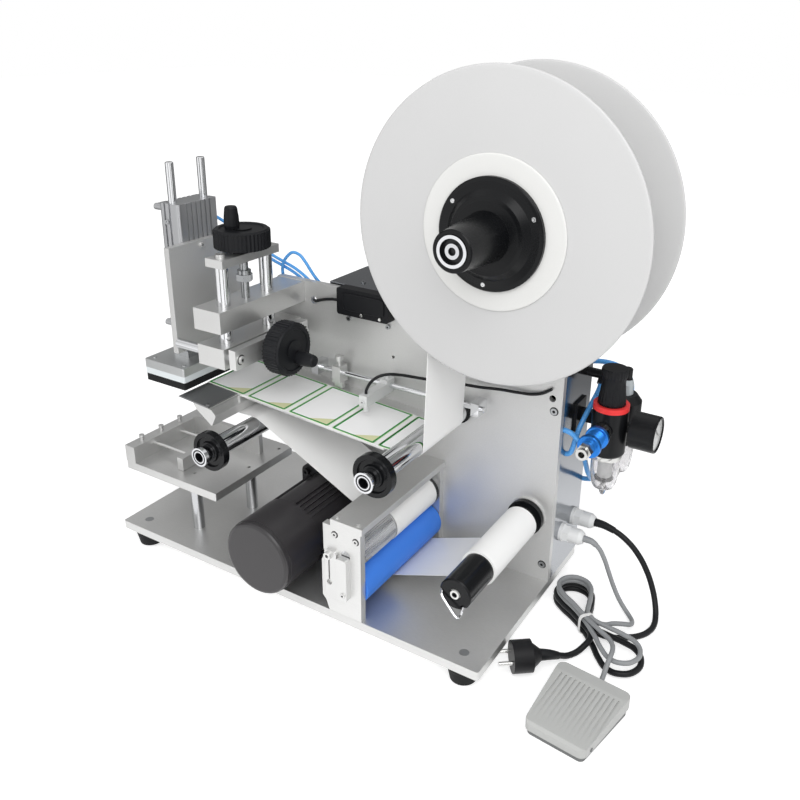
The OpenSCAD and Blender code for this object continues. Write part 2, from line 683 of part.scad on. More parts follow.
module pad_slab(z, t, grow = 0) {
    y0 = head_y - pad_w / 2;
    translate([0, 0, z]) linear_extrude(t)
        round_rect([pad_x0 - grow, y0 - grow], [pad_x0 + pad_l + grow, y0 + pad_w + grow], 2);
}

// aluminium pad plate with the white layer under it
module pad() {
    white_z = pad_z + pad_sponge_t;
    color("#c6c8ca") {
        pad_slab(white_z + pad_white_t, pad_plate_t);
        for (x = [pad_x0 + 8, pad_x0 + pad_l - 8], y = [head_y - pad_w / 2 + 9, head_y + pad_w / 2 - 9])
            translate([x, y, pad_top]) socket_head(2.6, 1);
    }
    color("white") pad_slab(white_z, pad_white_t);
}

module pad_sponge() { color("#111112") pad_slab(pad_z, pad_sponge_t, -0.3); }

// Label path

// height of the platform's top surface at x
function plat_at(x) = plat_z - (x - plat_x0) * tan(plat_tilt);

// a bar along Y whose outline in X and Z lies between two lines under the platform's top surface
module under_top(x0, x1, d0, d1, y0, y1) {
    wall_xz(y0, y1 - y0) polygon([[x0, plat_at(x0) - d0], [x1, plat_at(x1) - d0],
        [x1, plat_at(x1) - d1], [x0, plat_at(x0) - d1]]);
}

module label_platform() {
    color("#c8cacc") under_top(plat_x0 + air_gap, plat_x1, 0, plat_t, web_y + 0.8, panel_y);
}

// thin dark blade whose left edge peels the label off its liner
module peel_plate() {
    color("#3d3e40") wall_xz(peel_y, panel_y - peel_y - 4)
        polygon([[peel_x, plat_at(peel_x) - 1.2], [peel_x, plat_at(peel_x) - 0.7],
            [peel_x + 2, plat_at(peel_x) - 0.1],
            [plat_x0, plat_at(plat_x0)], [plat_x0, plat_at(plat_x0) - 2]]);
    color("#c9cacc") for (y = [peel_y + 4, panel_y - 12]) translate([plat_x0 - 4, y, plat_at(plat_x0 - 4) - 0.4])
        socket_head(3.2, 2);
}

// bar under the blade, bolted to the arm of the panel: bevelled above, undercut below for the liner
module peel_block() {
    color("#d2d4d6") wall_xz(peel_y + 1, panel_y - peel_y - 1) polygon([
        [plat_x0 - 26, plat_at(plat_x0 - 26) - 2.2], [plat_x0, plat_at(plat_x0) - 2],
            [plat_x0, plat_at(plat_x0) - plat_t],
        [plat_x0 + 3, plat_at(plat_x0) - plat_t - 0.2], [plat_x0 + 9.5, 186], [plat_x0 + 9.5, 184],
        [plat_x0 + 2.5, 170.5], [plat_x0 - 21, 187]]);
}

// the tangent direction from one wheel [x, z, s] to the next; s is its radius, above zero where
// the web keeps the wheel on its right hand, below zero on its left
function leaving(a, b) = let (d = [b[0] - a[0], b[1] - a[1]])
    atan2(d[1], d[0]) - asin(max(-1, min(1, (a[2] - b[2]) / norm(d))));

// points of a web that runs round the wheels w, each arc cut in steps of about 18 degrees
function web_path(w) = let (m = len(w)) [for (i = [0 : m - 1]) let (
    s = w[i][2],
    quarter = s < 0 ? -90 : 90,
    a0 = (i == 0 ? leaving(w[0], w[1]) : leaving(w[i - 1], w[i])) + quarter,
    a1 = (i == m - 1 ? leaving(w[m - 2], w[m - 1]) : leaving(w[i], w[i + 1])) + quarter,
    turn = s == 0 ? 0 : s > 0 ? a1 - a0 - 360 * ceil((a1 - a0) / 360) : a1 - a0 - 360 * floor((a1 - a0) / 360),
    n = abs(turn) < 1 || abs(turn) > 359 ? 0 : ceil(abs(turn) / 18))
    for (k = [0 : n]) let (t = n == 0 ? a0 : a0 + turn * k / n) [w[i][0] + abs(s) * cos(t),
        w[i][1] + abs(s) * sin(t)]];

// a strip of thickness t along the points p
module band(p, t) {
    n = len(p);
    normal = [for (i = [0 : n - 1]) let (a = p[max(i - 1, 0)], b = p[min(i + 1, n - 1)],
        d = unit(b - a)) [-d[1], d[0]]];
    polygon(concat([for (i = [0 : n - 1]) p[i] + normal[i] * t / 2],
        [for (i = [n - 1 : -1 : 0]) p[i] - normal[i] * t / 2]));
}

// the web of labels: flat on the blade and platform, under the web roller, up to the roll
module label_web() {
    up = 0.35;
    flat = [[peel_x + 0.8, plat_at(peel_x) + up], [plat_x0, plat_at(plat_x0) + up],
        [plat_x1 - 1, plat_at(plat_x1 - 1) + up]];
    round = web_path([[plat_x1 - 1, plat_at(plat_x1 - 1) + up, 0],
        [roller_2[0], roller_2[1], -(roller_r + 0.3 + web_t / 2)],
        [reel_x, reel_z, roll_r + 0.3 + web_t / 2]]);
    color("#f4f5f2") wall_xz(web_y, web_w) band(concat(flat, [for (i = [1 : len(round) - 1]) round[i]]), web_t);
}

// empty liner: back under the blade, over the liner roller, under the pin, over the pinch roller,
// back through the nip, round the driving roller and on to the rewind mandrel
module liner() {
    off = 0.3 + liner_t / 2;
    color("#e4e5e2") wall_xz(web_y, web_w) band(web_path([
        [peel_x + 2, plat_at(peel_x) - 2.2, 0], [plat_x0 + 2, 168.9, 0],
            [roller_1[0], roller_1[1], roller_r + off],
        [pin[0], pin[1], -(pin_r + 0.25)], [drive_x, pinch_z, pinch_r + off],
            [drive_x, drive_z, -(drive_r + off)],
        [wind_x, wind_z, -(wind_r + wound_t + off)]]), liner_t);
}

// fixed axles of the two guide rollers, with their chromed socket ends
module roller_axles() {
    color("#e2e4e6") for (p = [roller_1, roller_2]) {
        rod_y(p[0], p[1], -6, panel_back, axle_r);
        translate([p[0], -6, p[1]]) rotate([90, 0, 0]) difference() {
            union() {
                cylinder(h = 10, r = 9.5, $fn = 48);
                translate([0, 0, 10]) cylinder(h = 5, r = 11.5, $fn = 48);
            }
            translate([0, 0, 7]) cylinder(h = 9, r = 6, $fn = 6);
        }
    }
}

module collar_at(p, y) {
    translate([p[0], y, p[1]]) along_y() difference() {
        cylinder(h = 9, r = collar_r, $fn = 64);
        translate([0, 0, -1]) cylinder(h = 11, r = axle_r, $fn = 48);
        translate([0, 0, -0.1]) rotate_extrude($fn = 64) polygon([[12, 0], [19, 0], [18, 2.5], [13, 2.5]]);
    }
}

module roller_collars() {
    color("#161618") for (p = [roller_1, roller_2]) {
        collar_at(p, -5.5);
        translate([p[0], panel_y - 3, p[1]]) along_y() difference() {
            cylinder(h = 3, r = 15, $fn = 48);
            translate([0, 0, -1]) cylinder(h = 5, r = axle_r, $fn = 48);
        }
    }
}

module roller_tube(p) {
    color("#e0e2e4") translate([p[0], 3.5 + air_gap, p[1]]) along_y() difference() {
        cylinder(h = panel_y - 3 - 3.5 - 2 * air_gap, r = roller_r, $fn = 64);
        translate([0, 0, -1]) cylinder(h = panel_y, r = axle_r + run, $fn = 64);
    }
}
module roller_tube_1() { roller_tube(roller_1); }
module roller_tube_2() { roller_tube(roller_2); }

// Sensor rail, guide block and gap sensor

module sensor_rail() {
    color("#dfe1e3") rod_x(rail_y, rail_z, 196, 446, rail_r);
    color("#c4c6c8") for (x = [206, 436]) difference() {
        box([x - 5, rail_y - 8, rail_z - 8], [x + 5, panel_y, rail_z + 8]);
        rod_x(rail_y, rail_z, x - 6, x + 6, rail_r);
    }
}

module guide_block() {
    x0 = 233;
    color("#c4c6c8") difference() {
        union() {
            box([x0, web_y1 - 4, rail_z - 13], [x0 + 12, rail_y + 9, rail_z + 9]);
            box([x0, web_y1 + 0.5, plat_at(x0 - 12) + 0.5], [x0 + 12, rail_y + 2, rail_z - 12]);
        }
        rod_x(rail_y, rail_z, x0 - 1, x0 + 13, rail_r + run);
    }
    color("#d8dadc") translate([x0 + 6, rail_y, rail_z + 9]) {
        cylinder(h = 6, r = 2.4, $fn = 32);
        translate([0, 0, 6]) cylinder(h = 7, r = 5, $fn = 24);
    }
}

// light sensor over the web, clamped on the rail
module sensor_fork() {
    x0 = 305.5;
    color("#e6e7e8") difference() {
        union() {
            box([x0, rail_y - 52, rail_z - 10], [x0 + 11, rail_y, rail_z + 4]);
            box([x0, rail_y - 8, rail_z - 10], [x0 + 11, rail_y + 8, rail_z + 8]);
            translate([x0 + 5.5, rail_y - 45, rail_z - 18]) cylinder(h = 9, r = 3.5, $fn = 32);
        }
        rod_x(rail_y, rail_z, x0 - 1, x0 + 12, rail_r + run);
    }
    color("#d8dadc") {
        translate([x0 + 5.5, rail_y - 52, rail_z - 4]) rotate([90, 0, 0]) socket_head(2.6, 2);
        translate([x0 + 5.5, rail_y, rail_z + 8]) cylinder(h = 5, r = 2.4, $fn = 32);
    }
}

module amplifier() {
    color("#19191b") {
        wall_xz(panel_y - 15, 15) round_rect([238, 290], [313, 324], 3);
        sweep(amp_cable, 4);
    }
}

// Roller box and liner drive

// end plate outline of the roller box, notched on its left side
module box_outline() {
    polygon([[box_x0, box_top], [box_x1, box_top], [box_x1, 0.1], [box_x0 + 6, 0.1], [box_x0 + 2, 12],
        [box_x0 - 3, 18], [box_x0 - 3, 66], [box_x0 + 2, 74], [box_x0, 82]]);
}

module roller_box() {
    color("#d0d2d4") {
        difference() {
            wall_xz(0, box_t) box_outline();
            for (z = [drive_z, pinch_z]) rod_y(drive_x, z, -1, box_t + 1, journal_r + run);
        }
        difference() {
            wall_xz(panel_y - box_t, box_t) box_outline();
            for (z = [drive_z, pinch_z]) rod_y(drive_x, z, panel_y - box_t - 1, panel_y + 1, journal_r + run);
        }
        difference() {
            box([box_x0 + 10, 0, box_top], [box_x1 + 2, panel_y, box_top + 8]);
            for (x = [box_x0 + 16, box_x1 - 6]) translate([x, 5, box_top + 5])
                cylinder(h = 4, r = 3.4, $fn = 32);
        }
        for (x = [box_x0 + 16, box_x1 - 6]) translate([x, 0, box_top - 10]) rotate([90, 0, 0])
            socket_head(3.2, 1.4);
        rod_y(pin[0], pin[1], box_t, panel_y - box_t, pin_r);
    }
}

// spring tensioner on the front plate: side cheek, keyhole strap and its two screws
module tension_clip() {
    x0 = box_x0 + 4;
    color("#d9dbdd") {
        difference() {
            wall_xz(-4, 4) round_rect([x0, 22], [x0 + 16, 84], 4);
            wall_xz(-5, 6) translate([x0 + 5, 46]) square([2.2, 26]);
            rod_y(x0 + 6, 42, -5, 1, 3.4);
        }
        translate([x0 + 6, -4, 78]) rotate([90, 0, 0]) socket_head(4.5, 4);
        wall_xz(-8, 8) round_rect([x0 + 18, 26], [x0 + 32, 80], 3);
        translate([x0 + 27, -8, 34]) rotate([90, 0, 0]) socket_head(3, 1.5);
    }
}

// motor body with end cap, fin groups along its sides, and a flat pad for the bare plate
module motor() {
    y1 = panel_y - gearbox_l;
    cap = 62;
    color("#37383a") translate([motor_x, motor_y, motor_z]) along_y() rotate_extrude($fn = 96)
        polygon([[0, 0], [motor_r - 4, 0], [motor_r - 1.5, 0.8], [motor_r, 3], [motor_r, 8],
            [motor_r + 0.8, 8], [motor_r + 0.8, cap], [0, cap]]);
    color("#1d1e20") translate([motor_x, motor_y + cap, motor_z]) along_y() linear_extrude(y1 - motor_y - cap) union() {
        circle(motor_r - 2.5, $fn = 96);
        for (a = [10 : 90 : 280], k = [0 : 4]) rotate(a + 8 * k) translate([motor_r - 6, -1.1])
            square([6.5, 2.2]);
    }
}

module gearbox() {
    y0 = panel_y - gearbox_l;
    color("#141416") {
        wall_xz(y0, 7) round_rect([motor_x - motor_r, motor_z - motor_r],
            [motor_x + motor_r, motor_z + motor_r], 10);
        wall_xz(y0 + 7, gearbox_l - 7) round_rect([motor_x - motor_r + 1.5, motor_z - motor_r + 1.5],
            [motor_x + motor_r - 1.5, motor_z + motor_r - 1.5], 9);
        for (a = [45 : 90 : 315]) translate([motor_x, y0, motor_z]) rotate([90, 0, 0])
            rotate(a) translate([motor_r + 6, 0, 0]) socket_head(4.5, 5);
    }
}

module pulley(x, z) {
    difference() {
        translate([x, pulley_y, z]) along_y() {
            linear_extrude(belt_w + 2) polygon(fluted(24, pulley_r, 1.2));
            translate([0, 0, belt_w + 2]) cylinder(h = 1.5, r = pulley_r + 2, $fn = 48);
            translate([0, 0, -1.5]) cylinder(h = 1.5, r = pulley_r + 2, $fn = 48);
        }
        rod_y(x, z, pulley_y - 3, pulley_y + belt_w + 6, journal_r);
    }
}

// blue rubber driving roller on its journals, with its pulley behind the panel
module drive_roller() {
    y0 = box_t + 1;
    y1 = panel_y - box_t - 1;
    color("#2a6fdc") rod_y(drive_x, drive_z, y0, y1, drive_r);
    color("#b0b2b4") {
        rod_y(drive_x, drive_z, 1, y0, journal_r);
        rod_y(drive_x, drive_z, y1, pulley_y + belt_w + 6, journal_r);
        pulley(drive_x, drive_z);
    }
}

// aluminium pinch roller with a knurled front end and a rubber ring at the back
module pinch_roller() {
    y0 = box_t + 1;
    y1 = panel_y - box_t - 1;
    color("#c8cacc") {
        translate([drive_x, y0, pinch_z]) along_y() linear_extrude(web_y - 2 - y0)
            polygon(fluted(60, pinch_r, 0.4));
        rod_y(drive_x, pinch_z, web_y - 2, y1, pinch_r - 0.2);
    }
    color("#19191b") rod_y(drive_x, pinch_z, y1 - 7, y1 - 2, pinch_r + 0.6);
    color("#b0b2b4") {
        rod_y(drive_x, pinch_z, 1, y0, journal_r);
        rod_y(drive_x, pinch_z, y1, panel_y, journal_r);
    }
}

module motor_pulley() {
    color("#b0b2b4") {
        rod_y(motor_x, motor_z, panel_y + air_gap, pulley_y + belt_w + 6, journal_r);
        pulley(motor_x, motor_z);
    }
}

// outline at distance r round the centres c, which run against the clock
function round_path(c, r, n = 12) = let (m = len(c)) [for (i = [0 : m - 1]) let (
    a = c[(i + m - 1) % m], b = c[i], d = c[(i + 1) % m],
    t0 = atan2(b[1] - a[1], b[0] - a[0]) - 90, t1 = atan2(d[1] - b[1], d[0] - b[0]) - 90,
    t2 = t1 < t0 ? t1 + 360 : t1) for (k = [0 : n])
        b + r * [cos(t0 + (t2 - t0) * k / n), sin(t0 + (t2 - t0) * k / n)]];

// toothed belt round the motor, driving roller and rewind pulleys
module drive_belt() {
    c = [[motor_x, motor_z], [drive_x, drive_z], [wind_x, wind_z]];
    color("#141416") wall_xz(pulley_y + 1, belt_w) difference() {
        polygon(round_path(c, pulley_r + air_gap + 1.4));
        polygon(round_path(c, pulley_r + air_gap));
    }
}

// Rewind shaft

module rewind_bearing() {
    color("#dcdee0") translate([wind_x, panel_y, wind_z]) along_y() difference() {
        union() {
            translate([0, 0, -3]) cylinder(h = 3, r = 23, $fn = 64);
            cylinder(h = panel_t, r = 15.9, $fn = 64);
        }
        translate([0, 0, -4]) cylinder(h = panel_t + 6, r = 8 + run, $fn = 64);
    }
}

// mandrel with its back flange, shaft and pulley
module rewind_mandrel() {
    back = panel_y - 3 - air_gap - 6;
    color("#161618") difference() {
        union() {
            translate([wind_x, wind_y, wind_z]) along_y() rotate_extrude($fn = 64)
                polygon([[0, 0], [wind_r - 1.5, 0], [wind_r, 1.5], [wind_r, back - wind_y],
                    [0, back - wind_y]]);
            rod_y(wind_x, wind_z, back, back + 6, 22);
        }
        for (a = clip_turns) translate([wind_x, wind_y - 1, wind_z]) rotate([0, -a, 0])
            translate([clip_r - 2.4, 0, -2.4]) cube([6, 80, 4.8]);
        rod_y(wind_x, wind_z, wind_y - 1, wind_y + 4, 6.5);
    }
    color("#b0b2b4") {
        rod_y(wind_x, wind_z, back + 6, pulley_y - 1.5, 8);
        rod_y(wind_x, wind_z, pulley_y - 1.5, pulley_y + belt_w + 6, journal_r);
        pulley(wind_x, wind_z);
    }
    color("#e8e8e6") translate([wind_x, wind_y + 4, wind_z]) rotate([90, 0, 0]) socket_head(5, 5);
}

module rewind_paper() {
    color("#f3f3f1") difference() {
        rod_y(wind_x, wind_z, wind_y + 52, panel_y - 20, wind_r + wound_t);
        rod_y(wind_x, wind_z, wind_y + 51, panel_y - 19, wind_r + run);
    }
}

// wire clip that pins the liner to the mandrel, pulled out to the front to free the paper
function clip_point(a, y) = [wind_x + clip_r * cos(a), y, wind_z + clip_r * sin(a)];
module rewind_clip() {
    front = [[-14.2, -2.2, -3.2], [-12, -3.4, -5.6], [-6, -4.6, -11], [0, -5.8, -16.4], [4.6, -6.4, -20.4],
        [7.2, -6.6, -21.6], [9.2, -6, -20.4], [10.2, -4.6, -17.6], [10.1, -3, -14.8]];
    color("#d8dadc") sweep(concat(
        [clip_point(clip_turns[0], wind_y + 70), clip_point(clip_turns[0], wind_y + 1)],
        [for (q = front) [wind_x, wind_y, wind_z] + q],
        [clip_point(clip_turns[1], wind_y + 1.5), clip_point(clip_turns[1], wind_y + 70)]), 3);
}

// Reel

// fixed axle through the tower, with the chromed end nut in the nose
module reel_axle() {
    color("#c9cbcd") {
        rod_y(reel_x, reel_z, nose_y + 5, panel_back + 12, reel_axle_r);
        translate([reel_x, nose_y + 5, reel_z]) rotate([90, 0, 0]) difference() {
            cylinder(h = 6, r = 14.6, $fn = 64);
            translate([0, 0, 1]) cylinder(h = 6, r = 11.5, $fn = 48);
        }
        translate([reel_x, nose_y + 4.2, reel_z]) rotate([90, 0, 0]) socket_head(7, 4);
        translate([reel_x, panel_back, reel_z]) along_y() difference() {
            cylinder(h = 8, r = 19, $fn = 6);
            translate([0, 0, -1]) cylinder(h = 10, r = reel_axle_r, $fn = 48);
        }
        rod_y(reel_x, reel_z, disc_back_y + disc_t + air_gap, panel_y, 18);
    }
}

// black clamping flange with its stepped face and long conical nose
module reel_hub() {
    color("#17171a") translate([reel_x, 0, reel_z]) along_y() rotate_extrude($fn = 96)
        polygon([[reel_axle_r + run, nose_y + 5.6], [15.2, nose_y + 5.6], [15.2, nose_y], [18.4, nose_y],
            [19.4, nose_y + 1],
            [24.5, hub_y - 8], [33, hub_y - 7], [37, hub_y - 7], [39, hub_y - 5], [43, hub_y - 1],
                [50, hub_y],
            [53, hub_y], [54, hub_y + 1], [54, washer_y], [reel_axle_r + run, washer_y]]);
    color("#c9cacc") for (a = [25, 145, 265]) translate([reel_x + 48 * cos(a), hub_y, reel_z + 48 * sin(a)])
        rotate([90, 0, 0]) socket_head(2, 0.8);
}

module ring_y(y0, t, r, bore) {
    translate([reel_x, y0, reel_z]) along_y() difference() {
        cylinder(h = t, r = r, $fn = 128);
        translate([0, 0, -1]) cylinder(h = t + 2, r = bore, $fn = 96);
    }
}

// two plastic discs, the loose washer in front, and the spool that carries them
module reel_discs() {
    color("#eceded") {
        ring_y(disc_front_y, disc_t, disc_r, reel_axle_r + run);
        ring_y(disc_back_y, disc_t, disc_r, reel_axle_r + run);
        ring_y(washer_y, washer_t, 74, reel_axle_r + run);
        ring_y(disc_front_y + disc_t, disc_back_y - disc_front_y - disc_t, spool_r - 2, reel_axle_r + run);
    }
}

// roll of labels on its cardboard core
module label_roll() {
    color("#b59b74") ring_y(web_y, web_w, spool_r, spool_r - 2 + run);
    color("#f2f3f0") ring_y(web_y, web_w, roll_r, spool_r);
}

// Product table

function table_corner() = [table_x - table_l / 2, table_y - table_d / 2];

module table() {
    c = table_corner();
    color("#bfc1c3") {
        difference() {
            translate([0, 0, table_z - table_t]) linear_extrude(table_t)
                round_rect(c, c + [table_l, table_d], 1.5);
            for (p = [[88.5, 50.3], [137, 99.4], [137, 160]])
                translate([p[0], p[1], table_z - 4]) cylinder(h = 5, r = 2.2, $fn = 32);
        }
        for (p = table_posts) translate([p[0], p[1], 0])
            cylinder(h = table_z - table_t, r = table_post_r, $fn = 48);
        difference() {
            box([c[0], c[1], table_z], [c[0] + fence_t, c[1] + table_d, table_z + fence_h]);
            for (y = fence_rods()) rod_x(y, table_z + 13, c[0] - 1, c[0] + fence_t + 1, 2 + run);
        }
        box([c[0] + fence_t, table_y + 33.5, table_z], [c[0] + 137.5, table_y + 40.5, table_z + stop_h]);
    }
    color("#d8dadc") for (k = [0 : 2]) translate([c[0] + 8, c[1] + 22 + 34 * k, table_z + fence_h]) {
        cylinder(h = 5, r = 2.6, $fn = 32);
        translate([0, 0, 5]) cylinder(h = 3, r = 3.4, $fn = 32);
    }
}

function fence_rods() = [table_y - 35, table_y + 9];

// short stop bar carried by two thin rods that slide through the fence
module fence_bar() {
    c = table_corner();
    x0 = c[0] + fence_t + bar_gap;
    color("#c9cbcd") {
        box([x0, table_y - 55.5, table_z + air_gap], [x0 + 10, table_y + 16.5, table_z + 18]);
        for (y = fence_rods()) rod_x(y, table_z + 13, c[0] + 1, x0, 2);
    }
}

// Air unit

module turned(x, y, pts) { translate([x, y, 0]) rotate_extrude($fn = 64) polygon(pts); }

// filter regulator, lubricator and gauge bodies on the black bracket that holds them to the cabinet
module air_regulator() {
    z1 = air_z + 54;
    mid = (air_y + lub_y) / 2;
    color("#161618") {
        box([base_l, mid - 14, air_z + 8], [base_l + 3, mid + 14, air_z + 44]);
        box([base_l + 3, mid - 5, air_z + 19], [air_x - 6, mid + 5, air_z + 33]);
        turned(air_x, air_y, [[0, air_z], [air_r - 1, air_z], [air_r, air_z + 2], [air_r, z1], [12, z1],
            [12, z1 + 3], [0, z1 + 3]]);
        turned(air_x, lub_y, [[0, air_z], [air_r - 1, air_z], [air_r, air_z + 2], [air_r, z1 - 8],
            [14, z1], [0, z1]]);
        rod_y(air_x, air_z + 34, air_y + air_r - 3, lub_y - air_r + 3, 11);
        rod_y(air_x, passage(), valve_y(), air_y, 10);
        rod_x(air_y + 6, air_z + 32, air_x + air_r - 4, air_x + 26, 6);
        rod_x(air_y + 6, air_z + 32, air_x + 26, air_x + 52, 21);
        rod_y(air_x, air_z + 34, lub_y + air_r - 2, outlet_y, 5);
        translate([air_x, outlet_y, air_z + 34]) cylinder(h = 9, r = 4.8, $fn = 32);
        translate([air_x, outlet_y, air_z + 34]) sphere(r = outlet_r, $fn = 32);
    }
    color("#e03030") turned(air_x, air_y, [[12, z1], [air_r, z1], [air_r, z1 + 6], [15.8, z1 + 6], [15.8, z1 + 3], [12, z1 + 3]]);
    color("#d5d7d9") turned(air_x, lub_y, [[0, z1], [9, z1], [9, z1 + 12], [7, z1 + 18], [0, z1 + 18]]);
    color("#161618") turned(air_x, lub_y, [[0, z1 + 18], [6, z1 + 18], [6, z1 + 30], [5, z1 + 31], [0, z1 + 31]]);
    color("#202022") {
        rod_x(elbow[0], elbow[1], base_l, base_l + 19, 5.5);
        translate([base_l + 19, elbow[0], elbow[1]]) {
            sphere(r = 5.5, $fn = 32);
            rotate([139.5, 0, 0]) cylinder(h = 12, r = 5, $fn = 32);
        }
    }
}

module regulator_knob() {
    z0 = air_z + 54 + 6 + air_gap;
    color("#121214") turned(air_x, air_y, [[0, z0], [15, z0], [15.4, z0 + 3], [14, z0 + 16], [12.8, z0 + 26], [13.2, z0 + 30],
        [14.6, z0 + 33], [14.6, z0 + 40.5], [13.6, z0 + 42], [0, z0 + 42]]);
}

module air_bowls() {
    color([0.9, 0.93, 0.95, 0.5]) for (y = [air_y, lub_y])
        turned(air_x, y, [[0, air_z], [16.5, air_z], [16.5, air_z - 14], [15, air_z - 34], [12, air_z - 44],
            [5, air_z - 48], [3.6, air_z - 53], [1.6, air_z - 56], [0, air_z - 56]]);
}

// height of the air passage, and the front of the regulator body where the valve screws in
function passage() = air_z + 34;
function valve_y() = air_y - air_r - 2;

// hand slide valve on the inlet: its tube, hexagon and hose nipple with a through bore
module air_valve() {
    z = passage();
    y1 = valve_y();
    color("#dfe1e3") difference() {
        union() {
            rod_y(air_x, z, y1 - 9, y1, 9);
            rod_y(air_x, z, y1 - 50, y1 - 9, 7);
            translate([air_x, y1 - 58, z]) along_y() cylinder(h = 8, r = 8.5, $fn = 6);
            rod_y(air_x, z, y1 - 64, y1 - 58, 6.4);
        }
        rod_y(air_x, z, y1 - 65, y1 - 40, 3.5);
    }
}

// blue knurled sleeve that opens and closes the valve
module valve_sleeve() {
    z = passage();
    y1 = valve_y();
    color("#1f5fd0") difference() {
        union() {
            rod_y(air_x, z, y1 - 20, y1 - 14, 13);
            rod_y(air_x, z, y1 - 38, y1 - 20, 10.6);
            rod_y(air_x, z, y1 - 44, y1 - 38, 13);
        }
        rod_y(air_x, z, y1 - 45, y1 - 13, 7 + run);
    }
}

// the tubes, and the three fittings on the cabinet wall that the head's tubes end in
module air_tubes() {
    color("#2f7fe6") {
        for (p = [head_tube_1, head_tube_2, head_tube_3]) sweep(p, head_tube_d);
        translate([base_l, 0, 0]) for (p = [valve_tube_1, valve_tube_2, outlet_tube]) sweep(p, tube_d);
    }
    color("#1a1a1c") {
        for (p = head_ports) translate([leg_x, p[0], p[1]]) along_x() difference() {
            cylinder(h = 6, r = 4.2, $fn = 32);
            translate([0, 0, -1]) cylinder(h = 8, r = head_tube_d / 2 + 0.1, $fn = 32);
        }
        sweep(sensor_cable, 3.6);
    }
}

// Cords and foot switch

module cable_glands() {
    color("#c3c5c7") for (p = gland_at) translate([base_l, p[0], p[1]]) along_x() difference() {
        union() {
            cylinder(h = 4, r = 11.5, $fn = 48);
            translate([0, 0, 4]) cylinder(h = 8, r = 11, $fn = 6);
            translate([0, 0, 12]) cylinder(h = 12, r = 9.5, $fn = 48);
            translate([0, 0, 24]) cylinder(h = 5, r1 = 9.5, r2 = 6.5, $fn = 48);
            translate([0, 0, -7]) cylinder(h = 7, r = 6.9, $fn = 48);
        }
        translate([0, 0, -8]) cylinder(h = 40, r = mains_d / 2 + 0.1, $fn = 32);
    }
}

module at_pedal() { translate([pedal_x, pedal_y, floor_z]) rotate(pedal_turn) children(); }

// outline of the foot switch, wider at the cable end, with round corners
module pedal_outline(grow = 0) {
    r = pedal_r;
    y = pedal_d / 2 - r;
    a = pedal_w / 2 - r;
    b = pedal_w_front / 2 - r;
    polygon(concat(arc([a, y], r + grow, 0, 90, 6), arc([-a, y], r + grow, 90, 180, 6),
        arc([-b, -y], r + grow, 180, 270, 6), arc([b, -y], r + grow, 270, 360, 6)));
}

module pedal_base() {
    color("#6d6f71") at_pedal() {
        linear_extrude(pedal_base_h) pedal_outline(-2.4);
        for (s = [-1, 1]) translate([s * (pedal_w_front / 2 - 8), -pedal_d / 2 + pedal_pin_in, pedal_base_h])
            difference() {
                translate([-2, -4, 0]) cube([4, 8, 8]);
                translate([-3, 0, 4]) along_x() cylinder(h = 6, r = 2, $fn = 32);
            }
        translate([0, -pedal_d / 2 + pedal_pin_in, pedal_base_h + 4])
            translate([-pedal_w_front / 2 - 1.2, 0, 0])
            along_x() cylinder(h = pedal_w_front + 2.4, r = 2, $fn = 32);
        translate([0, pedal_d / 2 - 22, pedal_base_h]) cylinder(h = 3.5, r = 5, $fn = 32);
        translate([0, pedal_d / 2 - 10, 4.2]) along_y() difference() {
            cylinder(h = 19, r1 = 4.2, r2 = 3.6, $fn = 32);
            translate([0, 0, 13]) cylinder(h = 7, r = pedal_cord_d / 2 + 0.1, $fn = 32);
        }
    }
}

// hollow ribbed treadle, hinged on the pin near its low end
module pedal_treadle() {
    z0 = pedal_base_h + 0.4;
    color("#b4b6b6") at_pedal() difference() {
        intersection() {
            translate([0, 0, z0]) linear_extrude(pedal_h) pedal_outline();
            rotate([90, 0, 90]) linear_extrude(pedal_w + 10, center = true) polygon([
                [-pedal_d / 2 - 1, z0], [-pedal_d / 2 + 18, z0], [pedal_d / 2 + 1, z0 + 4],
                    [pedal_d / 2 + 1, pedal_h - 1],
                [pedal_d / 2 - 14, pedal_h], [-pedal_d / 2 + 3, 17], [-pedal_d / 2 - 1, 13]]);
        }
        translate([0, 0, z0 - 1]) linear_extrude(9) pedal_outline(-3);
        translate([-6.5, pedal_d / 2 - 12, z0 - 1]) cube([13, 14, 7.5]);
        translate([-pedal_w / 2, -pedal_d / 2 + pedal_pin_in, pedal_base_h + 4]) along_x()
            cylinder(h = pedal_w, r = 2 + run, $fn = 48);
        for (x = [-32 : 5.4 : 33]) translate([x, -pedal_d / 2 + 8, 0]) rotate([4.3, 0, 0])
            translate([0, 0, 17.4]) cube([1.6, pedal_d - 24, 6]);
    }
}

module hank(z, h, r1, r2, r3) {
    translate([0, 0, z]) linear_extrude(h) {
        hull() { translate([560, 203]) circle(r1, $fn = 24); translate([592, 158]) circle(r2, $fn = 24); }
        hull() { translate([592, 158]) circle(r2, $fn = 24); translate([645, 129]) circle(r3, $fn = 24); }
    }
}

module mains_cord() {
    color("#161618") {
        sweep(mains_route, mains_d);
        sweep(mains_tail, mains_d);
        hank(floor_z, 14, 25, 8.5, 25);
    }
}

module pedal_cord() {
    color("#8f9193") {
        sweep(pedal_route, pedal_cord_d);
        sweep(pedal_tail, pedal_cord_d);
        hank(floor_z + 14.3, 11, 22, 7.5, 22);
    }
}

